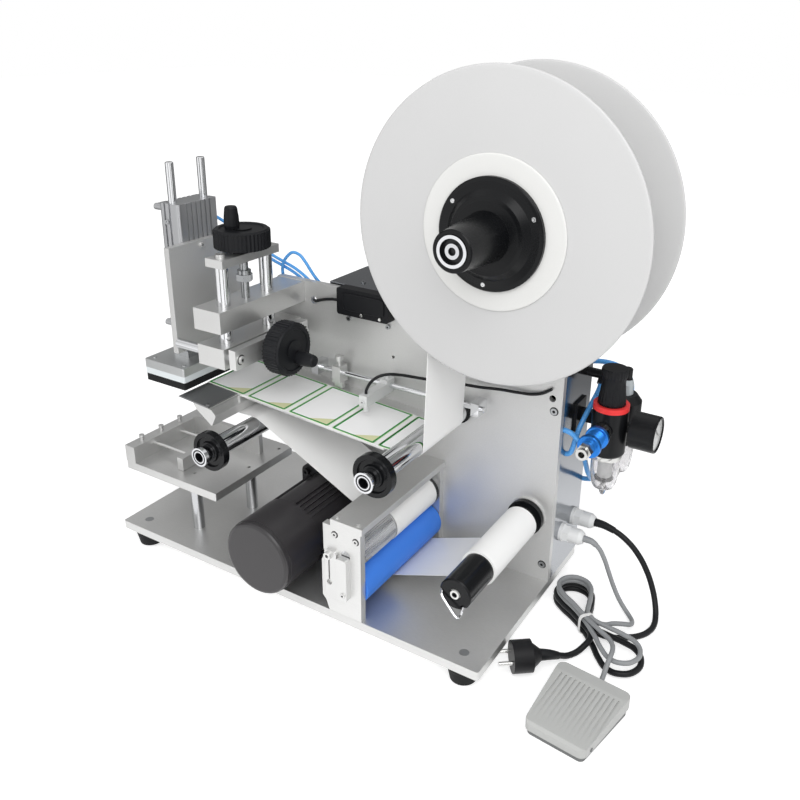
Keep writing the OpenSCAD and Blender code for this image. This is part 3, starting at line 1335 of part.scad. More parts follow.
// round mains plug lying on its side, two pins, with its tapered neck towards the cord
module mains_plug() {
    translate([556, 65, floor_z + 18]) rotate([0, 0, 38]) {
        color("#151517") along_x() {
            translate([0, 0, -14]) cylinder(h = 22, r = 17.8, $fn = 48);
            translate([0, 0, 8]) cylinder(h = 10, r1 = 15, r2 = 7, $fn = 48);
        }
        color("#c9cbcd") for (s = [-9.5, 9.5]) translate([-30, s, 0]) along_x() cylinder(h = 16, r = 2.4, $fn = 32);
    }
}

placed() base_plate();
placed() rubber_feet();
placed() upright_panel();
placed() cabinet_shell();
placed() cabinet_back();
placed() frame_screws();
placed() head_beam();
placed() label_platform();
placed() peel_plate();
placed() peel_block();
placed() label_web();
placed() liner();
placed() roller_axles();
placed() roller_collars();
placed() roller_tube_1();
placed() roller_tube_2();
placed() sensor_rail();
placed() guide_block();
placed() sensor_fork();
placed() amplifier();
placed() roller_box();
placed() tension_clip();
placed() motor();
placed() gearbox();
placed() drive_roller();
placed() pinch_roller();
placed() motor_pulley();
placed() drive_belt();
placed() rewind_bearing();
placed() rewind_mandrel();
placed() rewind_paper();
placed() rewind_clip();
placed() reel_axle();
placed() reel_hub();
placed() reel_discs();
placed() label_roll();
placed() crossbar();
placed() lower_block();
placed() lift_handwheel();
placed() end_plate();
placed() cylinder_plate();
placed() air_cylinder();
placed() offset_handwheel();
placed() guide_rods();
placed() pad();
placed() pad_sponge();
placed() table();
placed() fence_bar();
placed() air_regulator();
placed() regulator_knob();
placed() air_bowls();
placed() air_valve();
placed() valve_sleeve();
placed() air_tubes();
placed() cable_glands();
placed() pedal_base();
placed() pedal_treadle();
placed() mains_cord();
placed() pedal_cord();
placed() mains_plug();
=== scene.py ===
import math

import bpy
import numpy as np
from mathutils import Matrix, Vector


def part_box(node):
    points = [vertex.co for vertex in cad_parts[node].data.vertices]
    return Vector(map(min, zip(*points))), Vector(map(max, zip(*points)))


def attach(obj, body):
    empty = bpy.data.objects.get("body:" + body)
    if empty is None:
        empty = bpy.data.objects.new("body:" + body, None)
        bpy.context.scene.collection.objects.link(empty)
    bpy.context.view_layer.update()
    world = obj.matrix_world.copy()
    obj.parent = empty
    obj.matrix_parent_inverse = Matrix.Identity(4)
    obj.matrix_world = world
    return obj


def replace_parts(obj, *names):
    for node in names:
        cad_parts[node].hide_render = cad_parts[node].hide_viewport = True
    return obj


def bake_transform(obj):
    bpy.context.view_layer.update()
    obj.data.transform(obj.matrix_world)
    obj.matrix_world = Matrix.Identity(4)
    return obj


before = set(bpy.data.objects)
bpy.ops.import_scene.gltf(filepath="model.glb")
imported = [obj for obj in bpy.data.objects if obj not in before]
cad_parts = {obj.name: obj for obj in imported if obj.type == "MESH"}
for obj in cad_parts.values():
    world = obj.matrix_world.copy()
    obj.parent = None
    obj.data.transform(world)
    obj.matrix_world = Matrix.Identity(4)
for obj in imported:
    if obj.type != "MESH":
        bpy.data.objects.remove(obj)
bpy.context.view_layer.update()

base_lo, base_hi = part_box("base_plate")
CORNER = np.array([base_lo[0], base_lo[1], base_hi[2]])


def at(p):
    """row frame metres from millimetres off the base plate's front left top corner"""
    return CORNER + np.asarray(p, float) / 1000


def ends(node):
    """lowest and highest corner of a node's box in millimetres off the corner, to a hundredth, because the
    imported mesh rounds"""
    return [np.round((np.array(c) - CORNER) * 1000, 2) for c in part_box(node)]


def middle(node):
    """middle of a node's box in millimetres off the corner, to a hundredth"""
    lo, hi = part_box(node)
    return np.round(((np.array(lo) + np.array(hi)) / 2 - CORNER) * 1000, 2)


# Places that several pieces share, in millimetres off the corner
FLOOR = float(ends("rubber_feet")[0][2])
PANEL_FACE = float(ends("upright_panel")[0][1])
WEB_FRONT, WEB_BACK = (float(c[1]) for c in ends("label_roll"))
REEL = middle("reel_hub")
WEB_ROLLER = middle("roller_tube_2")
LINER_ROLLER = middle("roller_tube_1")
PINCH_ROLLER = middle("pinch_roller")
DRIVE_ROLLER = np.array([PINCH_ROLLER[0], 0, middle("drive_roller")[2]])
REWIND = middle("rewind_paper")
LIFT_SCREW = middle("lift_handwheel")
SIDE_SCREW = middle("offset_handwheel")
VALVE = middle("valve_sleeve")
AIR_X, FILTER_Y = (float(c) for c in middle("regulator_knob")[:2])
UNIT_PITCH = 48
OIL_Y = FILTER_Y + UNIT_PITCH
GAUGE_X, GAUGE_Y, GAUGE_Z = 630, 218, 209
LIFT_POSTS_Y = (52.5, 127.5)
SIDE_RODS_Y = (43, 159)


def add(name, data, mat=None, body=None):
    """an object in the scene, with its finish and riding on its body where it has them"""
    o = bpy.data.objects.new(name, data)
    bpy.context.scene.collection.objects.link(o)
    if mat:
        data.materials.append(mat)
    if body:
        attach(o, body)
    return o


def placed(x, y, z, origin):
    """matrix of an object whose own axes point along x, y and z and whose origin lies there"""
    m = np.eye(4)
    m[:3] = np.stack([x, y, z, origin], 1)
    return Matrix(m.tolist())


# Camera: turned, tilted and rolled as the photograph was taken. The focal length and the middle of the view
# are in pixels of the photograph
PHOTO_SIDE = 800
FOCAL_LENGTH = 842.75
VIEW_MIDDLE = (422.2, 353.3)
CAMERA_PLACE = (830.8, -622.8, 630.1)
azimuth, elevation, roll = (math.radians(a) for a in (30.81, 21.76, 0.948))
back = np.array([math.sin(azimuth) * math.cos(elevation), -math.cos(azimuth) * math.cos(elevation),
                 math.sin(elevation)])
level = np.array([math.cos(azimuth), math.sin(azimuth), 0])
upright = np.cross(back, level)
right = math.cos(roll) * level + math.sin(roll) * upright
top = -math.sin(roll) * level + math.cos(roll) * upright
camera = add("camera", bpy.data.cameras.new("camera"))
camera.matrix_world = placed(right, top, back, at(CAMERA_PLACE))
camera.data.lens = FOCAL_LENGTH * camera.data.sensor_width / PHOTO_SIDE
camera.data.shift_x = (PHOTO_SIDE / 2 - VIEW_MIDDLE[0]) / PHOTO_SIDE
camera.data.shift_y = (VIEW_MIDDLE[1] - PHOTO_SIDE / 2) / PHOTO_SIDE
camera.data.clip_end = 20
bpy.context.scene.camera = camera


# Shader building

def linear(hex6, k=1.0):
    """sRGB hex to linear: c / 12.92 up to 0.04045, above it ((c + 0.055) / 1.055) to the power 2.4; its light
    is scaled by k"""
    c = np.array([int(hex6[i:i + 2], 16) for i in (1, 3, 5)]) / 255
    c = np.where(c <= 0.04045, c / 12.92, ((c + 0.055) / 1.055) ** 2.4)
    return (*map(float, np.minimum(1, c * k)), 1.0)


def put(tree, kind, ins=None, **settings):
    """adds one node: settings are its own, ins are values for its sockets, or the output that feeds one, or a
    node whose first output does"""
    n = tree.nodes.new("ShaderNode" + kind)
    for key, value in settings.items():
        setattr(n, key, value)
    for key, value in (ins or {}).items():
        if isinstance(value, bpy.types.Node):
            value = value.outputs[0]
        if isinstance(value, bpy.types.NodeSocket):
            tree.links.new(value, n.inputs[key])
        else:
            n.inputs[key].default_value = value
    return n


def finish(name, hex6, metallic, roughness, grain=0.4, stretch=(1, 1, 1), tone=0.08, spread=0.05, bump=0.0,
           edge=0.0, **shader):
    """one finish: a noise grain millimetres wide, stretch times longer along each axis, moves the colour by
    tone, the roughness by spread and the surface by bump millimetres; edge is a rounded edge's radius"""
    mat = bpy.data.materials.new(name)
    mat.use_nodes = True
    tree = mat.node_tree
    tree.nodes.clear()
    where = put(tree, "TexCoord").outputs["Object"]
    scaled = put(tree, "Mapping", {"Vector": where, "Scale": tuple(1000 / (grain * s) for s in stretch)})
    noise = put(tree, "TexNoise", {"Vector": scaled, "Scale": 1.0, "Detail": 3.0, "Roughness": 0.6})
    patch = put(tree, "TexNoise", {"Vector": where, "Scale": 14.0, "Detail": 2.0})
    # the fine grain and patches about 70 mm wide add up to between 0.6 and 1.4
    both = {0: put(tree, "Math", {0: noise, 1: patch}, operation="ADD"), 1: 0.6, 2: 1.4}
    amount = put(tree, "MapRange", both)
    colour = put(tree, "Mix", {0: amount, 6: linear(hex6, 1 - tone), 7: linear(hex6, 1 + tone)},
                 data_type="RGBA")
    rough = put(tree, "MapRange", {**both, 3: roughness - spread, 4: roughness + spread})
    bsdf = put(tree, "BsdfPrincipled", {"Base Color": colour.outputs[2], "Metallic": metallic,
                                        "Roughness": rough, **shader})
    normal = None
    if edge:
        normal = put(tree, "Bevel", {"Radius": edge / 1000}, samples=4).outputs[0]
    if bump:
        bumped = put(tree, "Bump", {"Strength": 1.0, "Distance": bump / 1000, "Height": noise})
        if normal:
            tree.links.new(normal, bumped.inputs["Normal"])
        normal = bumped.outputs[0]
    if normal:
        tree.links.new(normal, bsdf.inputs["Normal"])
    put(tree, "OutputMaterial", {0: bsdf})
    return mat


def zone(mat, mask, hex6, metallic, roughness):
    """a second finish on the same piece, where mask is 1: its colour, metal and roughness are mixed in"""
    tree = mat.node_tree
    bsdf = next(n for n in tree.nodes if n.type == "BSDF_PRINCIPLED")
    for socket, value, kind in (("Base Color", linear(hex6), "RGBA"), ("Metallic", metallic, "FLOAT"),
                                ("Roughness", roughness, "FLOAT")):
        was = bsdf.inputs[socket]
        a, b, o = (6, 7, 2) if kind == "RGBA" else (2, 3, 0)
        mix = put(tree, "Mix", {0: mask, b: value}, data_type=kind)
        if was.links:
            tree.links.new(was.links[0].from_socket, mix.inputs[a])
        else:
            mix.inputs[a].default_value = was.default_value
        tree.links.new(mix.outputs[o], was)


def spot(mat, axis, centre, radius, start, end, hex6, metallic, roughness):
    """a second finish within radius of the line along axis through centre, between start and end along it;
    all in millimetres off the corner"""
    tree = mat.node_tree
    where = put(tree, "TexCoord").outputs["Object"]
    i = "xyz".index(axis)
    moved = put(tree, "VectorMath", {0: where, 1: tuple(-at(centre))}, operation="ADD")
    across = tuple(0.0 if k == i else 1.0 for k in range(3))
    flat = put(tree, "VectorMath", {0: moved, 1: across}, operation="MULTIPLY")
    far = put(tree, "VectorMath", {0: flat}, operation="LENGTH").outputs["Value"]
    near = put(tree, "Math", {0: far, 1: radius / 1000}, operation="LESS_THAN")
    along = put(tree, "SeparateXYZ", {0: where}).outputs[i]
    above = put(tree, "Math", {0: along, 1: float(CORNER[i] + start / 1000)}, operation="GREATER_THAN")
    below = put(tree, "Math", {0: along, 1: float(CORNER[i] + end / 1000)}, operation="LESS_THAN")
    part = put(tree, "Math", {0: near, 1: above}, operation="MULTIPLY")
    zone(mat, put(tree, "Math", {0: part, 1: below}, operation="MULTIPLY"), hex6, metallic, roughness)


def brushed(name, hex6, roughness, grain, stretch, tone):
    """bar or plate stock, milled and then brushed: bright, with short streaks along stretch's longer axis"""
    return finish(name, hex6, 0.85, roughness, grain=grain, stretch=stretch, tone=tone, bump=0.005, edge=0.5)


def black(name, hex6, roughness, grain, tone, bump=0.0, edge=0.4):
    """black plastic, rubber or enamel, which mirrors little of the room"""
    return finish(name, hex6, 0.0, roughness, grain=grain, tone=tone, bump=bump, edge=edge,
                  **{"Specular IOR Level": 0.22})


# Aluminium. Streaks run along the way that each piece was brushed
ALONG_X, ALONG_Y = (8, 1, 1), (1, 9, 1)
# cast tooling plate, bead blasted and anodised: a fine sparkling grain on a soft, nearly matt pale grey
BLASTED = finish("blasted_anodised_aluminium", "#d3d3d2", 0.66, 0.46, grain=0.9, tone=0.07, bump=0.010,
                 edge=0.5)
# milled bars and blocks, and copies of the same stock, each set a little lighter or darker to the tone that
# larger piece shows: painted light and shade
MILLED = brushed("milled_aluminium", "#dcdcdb", 0.36, 0.5, ALONG_Y, 0.07)
CROSSBAR = brushed("milled_crossbar", "#d9d9d8", 0.36, 0.5, ALONG_Y, 0.07)
END_PLATE = brushed("milled_end_plate", "#e2e2e1", 0.38, 0.6, ALONG_Y, 0.06)
TABLE_TOP = brushed("brushed_tooling_plate", "#dcdcdb", 0.38, 0.6, ALONG_X, 0.06)
TABLE = brushed("brushed_product_table", "#d8d8d7", 0.38, 0.6, ALONG_X, 0.07)
# rolled plate, belt sanded and clear anodised: pale, with faint streaks along X
PLATE = finish("sanded_anodised_plate", "#d6d6d5", 0.85, 0.42, grain=0.8, stretch=(7, 1, 1), tone=0.07,
               bump=0.006, edge=0.6)
# extruded and satin anodised cylinder barrel: fine die lines from top to bottom
EXTRUDED = finish("extruded_satin_aluminium", "#bcbdbf", 0.85, 0.34, grain=0.35, stretch=(1, 1, 30),
                  tone=0.10, bump=0.004, edge=0.4)
# milled aluminium plate, a little darker, over the pad's white rubber layer
PAD = finish("milled_pad_plate", "#c6c8c8", 0.8, 0.36, grain=0.6, stretch=ALONG_Y, tone=0.07, bump=0.005,
             edge=0.5)
# anodised sleeve of the valve: clear saturated blue with a metal's light
VALVE_BLUE = finish("blue_anodised_aluminium", "#2f7fd8", 0.85, 0.28, grain=0.4, tone=0.08, edge=0.2)

# Steel and brass
# bright annealed stainless sheet: nearly a mirror, blurred a little along its rolling direction
CABINET = finish("bright_stainless_sheet", "#9fa2a7", 1.0, 0.18, grain=0.6, stretch=(1, 1, 14), tone=0.04,
                 spread=0.03, edge=0.4)
# ground and hard chromed steel: a clean mirror that takes its streaks from the room
CHROME = finish("hard_chrome", "#e3e4e6", 1.0, 0.08, grain=1.5, tone=0.02, spread=0.02)
AXLE, REEL_AXLE = (finish(name, "#dcdde0", 1.0, 0.1, grain=1.5, tone=0.02, spread=0.02)
                   for name in ("chromed_socket_axle", "chromed_reel_axle"))
# zinc plated steel screws: grey and a little cloudy
STEEL = finish("zinc_plated_steel", "#aeb0b2", 1.0, 0.3, grain=0.6, tone=0.08, edge=0.2)
# hardened and ground blade steel: mid grey with streaks along its edge
BLADE = finish("ground_blade_steel", "#8b8c8d", 0.9, 0.42, grain=0.4, stretch=(1, 14, 1), tone=0.08)
# knurled steel: its noise stands in for the finest ribs, drawn 0.7 mm wide so that they show
KNURLED = finish("knurled_steel_roller", "#d4d5d7", 1.0, 0.24, grain=0.7, tone=0.12, bump=0.03)
# nickel plated brass fittings: warm white metal with soft edges
NICKEL = finish("nickel_plated_brass", "#cfcfcd", 1.0, 0.18, grain=0.5, tone=0.05, edge=0.3)

# Black plastics, rubber and enamel
# glass filled nylon, moulded: black with a slightly grey, grainy gloss
NYLON = black("moulded_black_nylon", "#141518", 0.42, 0.8, 0.12, bump=0.010, edge=0.5)
LIFT_WHEEL = black("moulded_wheel_on_steel_screw", "#151619", 0.42, 0.8, 0.12, bump=0.010)
OFFSET_WHEEL = black("moulded_wheel_on_side_screw", "#191a1d", 0.42, 0.8, 0.12, bump=0.010)
# turned and polished acetal: deep black with sharp lights
ACETAL = black("polished_black_acetal", "#101113", 0.22, 1.2, 0.08)
HUB = black("turned_black_hub", "#0d0e10", 0.26, 1.2, 0.08)
# black anodised tube: deep black, satin to glossy
MANDREL = black("black_anodised_mandrel", "#121315", 0.24, 0.9, 0.08)
# moulded rubber and soft vinyl: dull, with a fine grain
RUBBER = black("black_rubber", "#1b1c1d", 0.7, 1.0, 0.15, bump=0.02, edge=0.0)
PLUG = black("moulded_plug_pvc", "#1a1a1c", 0.4, 0.8, 0.1, bump=0.01, edge=0.6)
CORD_BLACK = black("black_pvc_cord", "#1c1d1f", 0.38, 1.0, 0.08, edge=0.0)
# stove enamel on the gearbox and on the air unit's diecast bodies
GEAR_PAINT = black("black_gearbox_enamel", "#18181a", 0.4, 0.7, 0.1, bump=0.01)
AIR_BODY = black("black_diecast_enamel", "#141517", 0.3, 0.8, 0.1, bump=0.006)
# stove enamel on the motor's cast end and barrel: warm dark grey, satin
MOTOR_PAINT = finish("satin_motor_enamel", "#323032", 0.0, 0.34, grain=0.7, tone=0.08, bump=0.012, edge=0.4)
# open cell sponge, cut: black, with pores about a millimetre wide
SPONGE = finish("black_cell_sponge", "#131415", 0.0, 0.9, grain=0.9, tone=0.3, bump=0.25)
# painted shade: a flat dark colour for the bottom of a screw's socket and the gap round a countersunk head,
# where no light comes
SHADOW = finish("painted_socket_shade", "#0b0c0d", 0.0, 0.6, grain=0.8, tone=0.1)

# Paper and film
# clay coated paper of the label web and the labels: smooth, almost white
PAPER = finish("coated_label_paper", "#f7f7f6", 0.0, 0.5, grain=0.5, tone=0.015, bump=0.002)
PRINT = finish("printed_label_paper", "#fafafa", 0.0, 0.42, grain=0.5, tone=0.012)
# silicone coated backing: a little greyer and glossier than the labels
LINER = finish("silicone_coated_liner", "#f1f1f0", 0.0, 0.35, grain=0.6, tone=0.02)
# many paper edges wound on each other, seen as fine lines across the roll
ROLL = finish("paper_roll_edge", "#e6e7e4", 0.0, 0.6, grain=0.3, stretch=(1, 30, 1), tone=0.05)

# Pale and coloured plastics and enamels
# cast and ground polyurethane cover: even bright blue, almost without gloss
BLUE = finish("ground_blue_polyurethane", "#3a7fe4", 0.0, 0.5, grain=0.8, tone=0.04, bump=0.006)
# polyurethane tube: sky blue and slightly clear, with a long soft light along it
TUBE = finish("blue_polyurethane_tube", "#5fb2fb", 0.0, 0.28, grain=1.0, tone=0.03,
              **{"Transmission Weight": 0.12})
# polypropylene sheet, frosted: milky, without a sharp light
DISC = finish("frosted_polypropylene", "#c6c6c6", 0.0, 0.5, grain=2.0, tone=0.012)
WASHER = finish("white_polypropylene", "#d9d9d7", 0.0, 0.45, grain=2.0, tone=0.012)
# sprayed enamel of the gap sensor: smooth pale grey
SENSOR = finish("painted_sensor_housing", "#d6d7d7", 0.2, 0.42, grain=0.8, tone=0.04, edge=0.4)
# moulded polycarbonate: clear, with bright edges where it bends the light
BOWL = finish("clear_polycarbonate", "#fbfafb", 0.0, 0.06, grain=1.0, tone=0.01, spread=0.01,
              **{"Transmission Weight": 0.92, "IOR": 1.58})
# sintered plastic beads: white, dull and slightly rough
FILTER = finish("sintered_white_filter", "#dcdedc", 0.0, 0.7, grain=0.5, tone=0.06, bump=0.05)
# injection moulded white nylon of the cable glands and of the strap round the cords
GLAND = finish("moulded_white_nylon", "#dfe0e0", 0.0, 0.42, grain=0.8, tone=0.03, edge=0.4)
STRAP = finish("white_nylon_strap", "#e9e9e8", 0.0, 0.4, grain=0.8, tone=0.02)
# hammered enamel on the foot switch: pale grey with soft dimples
PEDAL = finish("pale_hammered_enamel", "#b7b8b6", 0.0, 0.42, grain=1.8, tone=0.03, bump=0.03, edge=0.8)
PEDAL_DARK = finish("dark_hammered_enamel", "#6d6f6f", 0.0, 0.5, grain=1.8, tone=0.05, edge=0.4)
# soft vinyl of the foot switch's cord: even grey, satin
CORD_GREY = finish("grey_pvc_cord", "#8d8f91", 0.0, 0.42, grain=1.0, tone=0.05)

# Second finishes on one solid: axis and centre of a cylinder, its radius, start and end, then colour, metal
# and roughness

# the pad's white rubber layer, as wide as the pad
spot(PAD, "z", (0, 0, 0), 1e4, 209.1, 217.1, "#dfe5e7", 0.0, 0.55)
# the pinch roller's black ring beside the web
spot(KNURLED, "y", PINCH_ROLLER, 30, 163.5, 168.5, "#17181a", 0.0, 0.4)
# steel screws that carry the two moulded wheels
spot(LIFT_WHEEL, "z", LIFT_SCREW, 10.9, 200, 374.3, "#a4a6a8", 1.0, 0.25)
spot(OFFSET_WHEEL, "x", SIDE_SCREW, 10.9, 0, 190.9, "#a4a6a8", 1.0, 0.25)
# white nut and dark bore at the end of the rewind mandrel
spot(MANDREL, "y", REWIND, 6.4, 0, 8, "#e4e4e2", 0.2, 0.35)
spot(MANDREL, "y", REWIND, 3.0, 0, 8, "#1a1a1c", 0.0, 0.5)
# the regulator's red lock ring and the lubricator's clear dome
spot(AIR_BODY, "z", (AIR_X, FILTER_Y, 0), 20.6, 230.9, 237.3, "#ee4040", 0.0, 0.35)
spot(AIR_BODY, "z", (AIR_X, OIL_Y, 0), 9.5, 231.2, 249, "#b9c0c3", 0.1, 0.1)
# chromed posts in the crossbar, chromed rods in the end plate and the table's turned legs
for y in LIFT_POSTS_Y:
    spot(CROSSBAR, "z", (LIFT_SCREW[0], y, 0), 8.2, 272.1, 363.9, "#dfe0e2", 1.0, 0.09)
for y in SIDE_RODS_Y:
    spot(END_PLATE, "x", (0, y, SIDE_SCREW[2]), 6.2, 90.6, 180.4, "#dfe0e2", 1.0, 0.09)
for x, y in ((95, 43.5), (121, 118)):
    spot(TABLE, "z", (x, y, 0), 7.7, 0.05, 63.9, "#c8c9cb", 1.0, 0.16)
# painted shade of a groove, a bright ring, and painted shade in the socket at the end of each roller's axle
for roller in (LINER_ROLLER, WEB_ROLLER):
    spot(AXLE, "y", roller, 9.4, -21.5, -20.4, "#16171a", 0.3, 0.3)
    spot(AXLE, "y", roller, 7.6, -21.5, -20.4, "#dcdde0", 1.0, 0.12)
    spot(AXLE, "y", roller, 6.2, -21.5, -12.5, "#16171a", 0.3, 0.3)
# on the reel's axle: a dark ring, a bright ring, and painted shade in its socket
spot(REEL_AXLE, "y", REEL, 11.6, -12, -5, "#1a1b1e", 0.4, 0.3)
spot(REEL_AXLE, "y", REEL, 7.1, -12, -6.1, "#cfd0d3", 1.0, 0.14)
spot(REEL_AXLE, "y", REEL, 3.7, -12, -6.1, "#101114", 0.2, 0.4)
# three bright screws on the hub's flange, 48 mm off its middle
for a in np.radians([25, 145, 265]):
    screw = REEL + 48 * np.array([math.cos(a), 0, math.sin(a)])
    spot(HUB, "y", screw, 2.2, 58.9, 59.95, "#d4d5d6", 1.0, 0.25)

# the plug's pins: all that lies past its face, away from the cord
PLUG_TURN = math.radians(38)
PLUG_FACE = 0.0143
plug_way = (math.cos(PLUG_TURN), math.sin(PLUG_TURN), 0.0)
plug_middle = float(at((556, 65, -15)) @ plug_way)
tree = PLUG.node_tree
where = put(tree, "TexCoord").outputs["Object"]
reach = put(tree, "VectorMath", {0: where, 1: plug_way}, operation="DOT_PRODUCT").outputs["Value"]
pins = put(tree, "Math", {0: reach, 1: plug_middle - PLUG_FACE}, operation="LESS_THAN")
zone(PLUG, pins, "#d8d8d6", 1.0, 0.2)

LOOKS = {
    "base_plate": PLATE, "rubber_feet": RUBBER, "upright_panel": BLASTED, "cabinet_shell": CABINET,
    "cabinet_back": CABINET, "frame_screws": STEEL, "head_beam": MILLED, "label_platform": MILLED,
    "peel_plate": BLADE, "peel_block": MILLED, "label_web": PAPER, "liner": LINER, "roller_axles": AXLE,
    "roller_collars": ACETAL, "roller_tube_1": CHROME, "roller_tube_2": CHROME, "sensor_rail": CHROME,
    "guide_block": MILLED, "sensor_fork": SENSOR, "amplifier": NYLON, "roller_box": TABLE_TOP,
    "tension_clip": MILLED, "motor": MOTOR_PAINT, "gearbox": GEAR_PAINT, "drive_roller": BLUE,
    "pinch_roller": KNURLED, "motor_pulley": MILLED, "drive_belt": RUBBER, "rewind_bearing": MILLED,
    "rewind_mandrel": MANDREL, "rewind_paper": PAPER, "rewind_clip": CHROME, "reel_axle": REEL_AXLE,
    "reel_hub": HUB, "reel_discs": DISC, "label_roll": ROLL, "crossbar": CROSSBAR,
    "lower_block": MILLED, "lift_handwheel": LIFT_WHEEL, "end_plate": END_PLATE, "cylinder_plate": BLASTED,
    "air_cylinder": EXTRUDED, "offset_handwheel": OFFSET_WHEEL, "guide_rods": CHROME, "pad": PAD,
    "pad_sponge": SPONGE, "table": TABLE, "fence_bar": MILLED, "air_regulator": AIR_BODY,
    "regulator_knob": NYLON, "air_bowls": BOWL, "air_valve": NICKEL, "valve_sleeve": VALVE_BLUE,
    "air_tubes": TUBE, "cable_glands": GLAND, "pedal_base": PEDAL_DARK, "pedal_treadle": PEDAL,
    "mains_cord": CORD_BLACK, "pedal_cord": CORD_GREY, "mains_plug": PLUG,
}
for node, look in LOOKS.items():
    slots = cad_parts[node].data.materials
    slots.clear()
    slots.append(look)


# Surfaces

def quads_of(m, n, wrap):
    """faces of an m by n grid, each joining (i, j), (i+1, j), (i+1, j+1) and (i, j+1); where a direction
    wraps, its last row or column is joined to the first"""
    i = np.arange(m if wrap[0] else m - 1)[:, None]
    j = np.arange(n if wrap[1] else n - 1)[None, :]
    i1, j1 = (i + 1) % m, (j + 1) % n
    return np.stack([i * n + j, i1 * n + j, i1 * n + j1, i * n + j1], -1).reshape(-1, 4)


def surface(name, grid, mat, body=None, wrap=(False, False), caps=(False, False), uv=None, sharp=35):
    """a piece from an m by n grid of points in the row frame, with caps on its first and last row. A closed
    shape whose signed volume comes out below zero has its faces turned round. Edges of more than sharp
    degrees shade sharp"""
    m, n = grid.shape[:2]
    quads = quads_of(m, n, wrap)
    points = grid.reshape(-1, 3)
    faces = quads.tolist()
    if caps[0]:
        faces.append(list(range(n)))
    if caps[1]:
        faces.append(list(range(m * n - 1, (m - 1) * n - 1, -1)))
    if any(caps) or all(wrap):
        a, b, c, d = (points[quads[:, k]] for k in range(4))
        volume = (np.einsum("ij,ij->i", a, np.cross(b, c)) + np.einsum("ij,ij->i", a, np.cross(c, d))).sum()
        for k, row in ((0, 0), (1, m - 1)):
            if caps[k]:
                ring = points[row * n:(row + 1) * n]
                cross = np.cross(ring, np.roll(ring, -1, 0)).sum(0) @ ring.mean(0)
                volume += cross if k == 0 else -cross
        if volume < 0:
            faces = [f[::-1] for f in faces]
    mesh = bpy.data.meshes.new(name)
    mesh.from_pydata(points.tolist(), [], faces)
    mesh.polygons.foreach_set("use_smooth", np.ones(len(faces), bool))
    mesh.set_sharp_from_angle(angle=math.radians(sharp))
    if uv is not None:
        layer = mesh.uv_layers.new(name="UVMap")
        corner = np.zeros(len(mesh.loops), np.int32)
        mesh.loops.foreach_get("vertex_index", corner)
        layer.data.foreach_set("uv", np.asarray(uv, np.float32).reshape(-1, 2)[corner].ravel())
    return add(name, mesh, mat, body)


def turned(name, axis, centre, profile, mat, body, n=96):
    """a profile of (radius, height) in millimetres turned round the line along axis through centre:
    point = centre + radius (cos t, sin t) across the axis + height along it; a profile that starts more than
    a millimetre off the axis is closed on itself as a ring"""
    p = np.array(profile, float)
    t = np.linspace(0, 2 * math.pi, n, endpoint=False)
    k = "xyz".index(axis)
    grid = np.zeros((len(p), n, 3))
    grid[:, :, (k + 1) % 3] = p[:, 0, None] * np.cos(t)
    grid[:, :, (k + 2) % 3] = p[:, 0, None] * np.sin(t)
    grid[:, :, k] = p[:, 1, None]
    ring = bool(p[0, 0] > 1)
    return surface(name, at(grid + np.asarray(centre, float)), mat, body, wrap=(ring, True),
                   caps=(not ring, not ring))


# Cords: both are tied in one hank, whose two ends and tie are given in XY

BUNDLE_BACK = np.array([560, 203.0])
WAIST = np.array([592, 158.0])
BUNDLE_FRONT = np.array([645, 129.0])


def hank(lane, radius, low, high):
    """centreline of a cord folded to and fro through the tie, in three runs, the first at the height low, the
    last at high: between tie and end loop its distance from the hank's own line grows as
    lane + (radius - lane)(3t^2 - 2t^3), and each end loop is a half circle whose height runs evenly"""
    out = []
    for end, z0, z1 in ((BUNDLE_BACK, low, low), (BUNDLE_FRONT, low, high), (BUNDLE_BACK, high, high)):
        run = end - WAIST
        ahead = run / np.linalg.norm(run)
        across = np.array([ahead[1], -ahead[0]])
        t = np.array([0.12, 0.42, 0.72, 1.0])
        off = (lane + (radius - lane) * (3 * t ** 2 - 2 * t ** 3))[:, None] * across
        spine = WAIST + t[:, None] * run
        a = np.radians([40, 90, 140])
        loop = end + radius * (np.cos(a)[:, None] * across + np.sin(a)[:, None] * ahead)
        out.append(np.c_[spine + off, np.full(4, z0)])
        out.append(np.c_[loop, z0 + (z1 - z0) * np.degrees(a) / 180])
        out.append(np.c_[(spine - off)[::-1], np.full(4, z1)])
    return np.concatenate(out)


def cord_curve(name, points, diameter, mat):
    """a round cord along one smooth curve through the points, in millimetres off the corner"""
    data = bpy.data.curves.new(name, "CURVE")
    data.dimensions = "3D"
    data.bevel_depth = diameter / 2000
    data.bevel_resolution = 5
    data.resolution_u = 8
    data.use_fill_caps = True
    spline = data.splines.new("BEZIER")
    spline.bezier_points.add(len(points) - 1)
    spline.bezier_points.foreach_set("co", at(points).ravel())
    for p in spline.bezier_points:
        p.handle_left_type = p.handle_right_type = "AUTO"
    return add(name, data, mat, "frame")


mains_in = [[562, 250, 56], [572, 250, 56], [588, 249, 53], [605, 248, 45], [620, 246, 33], [633, 243, 17],
            [643, 238, 1], [651, 230, -14], [656, 220, -25], [658, 208, -28.7], [656, 194, -29.1],
            [649, 181, -29.1], [638, 171, -29.1], [626, 163, -29.1], [609, 159.5, -29.2]]
mains_out = [[596, 152.5, -22.5], [601.5, 147, -22.3], [604.5, 140.5, -22.2], [604.5, 133, -23],
             [602, 125.5, -25.5], [598.5, 118.5, -28.4], [594.5, 111.5, -29.2], [590.5, 104.5, -28],
             [586.5, 97.5, -24.5], [582.5, 90.5, -20.5], [577.8, 84, -17.2], [573.6, 79.2, -15.5],
             [570.8, 76.8, -15.1]]
mains_path = np.concatenate([mains_in, hank(3.7, 21.3, FLOOR + 3.8, FLOOR + 10.8), mains_out])
mains = cord_curve("mains_lead", mains_path, 7, CORD_BLACK)
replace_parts(mains, "mains_cord")

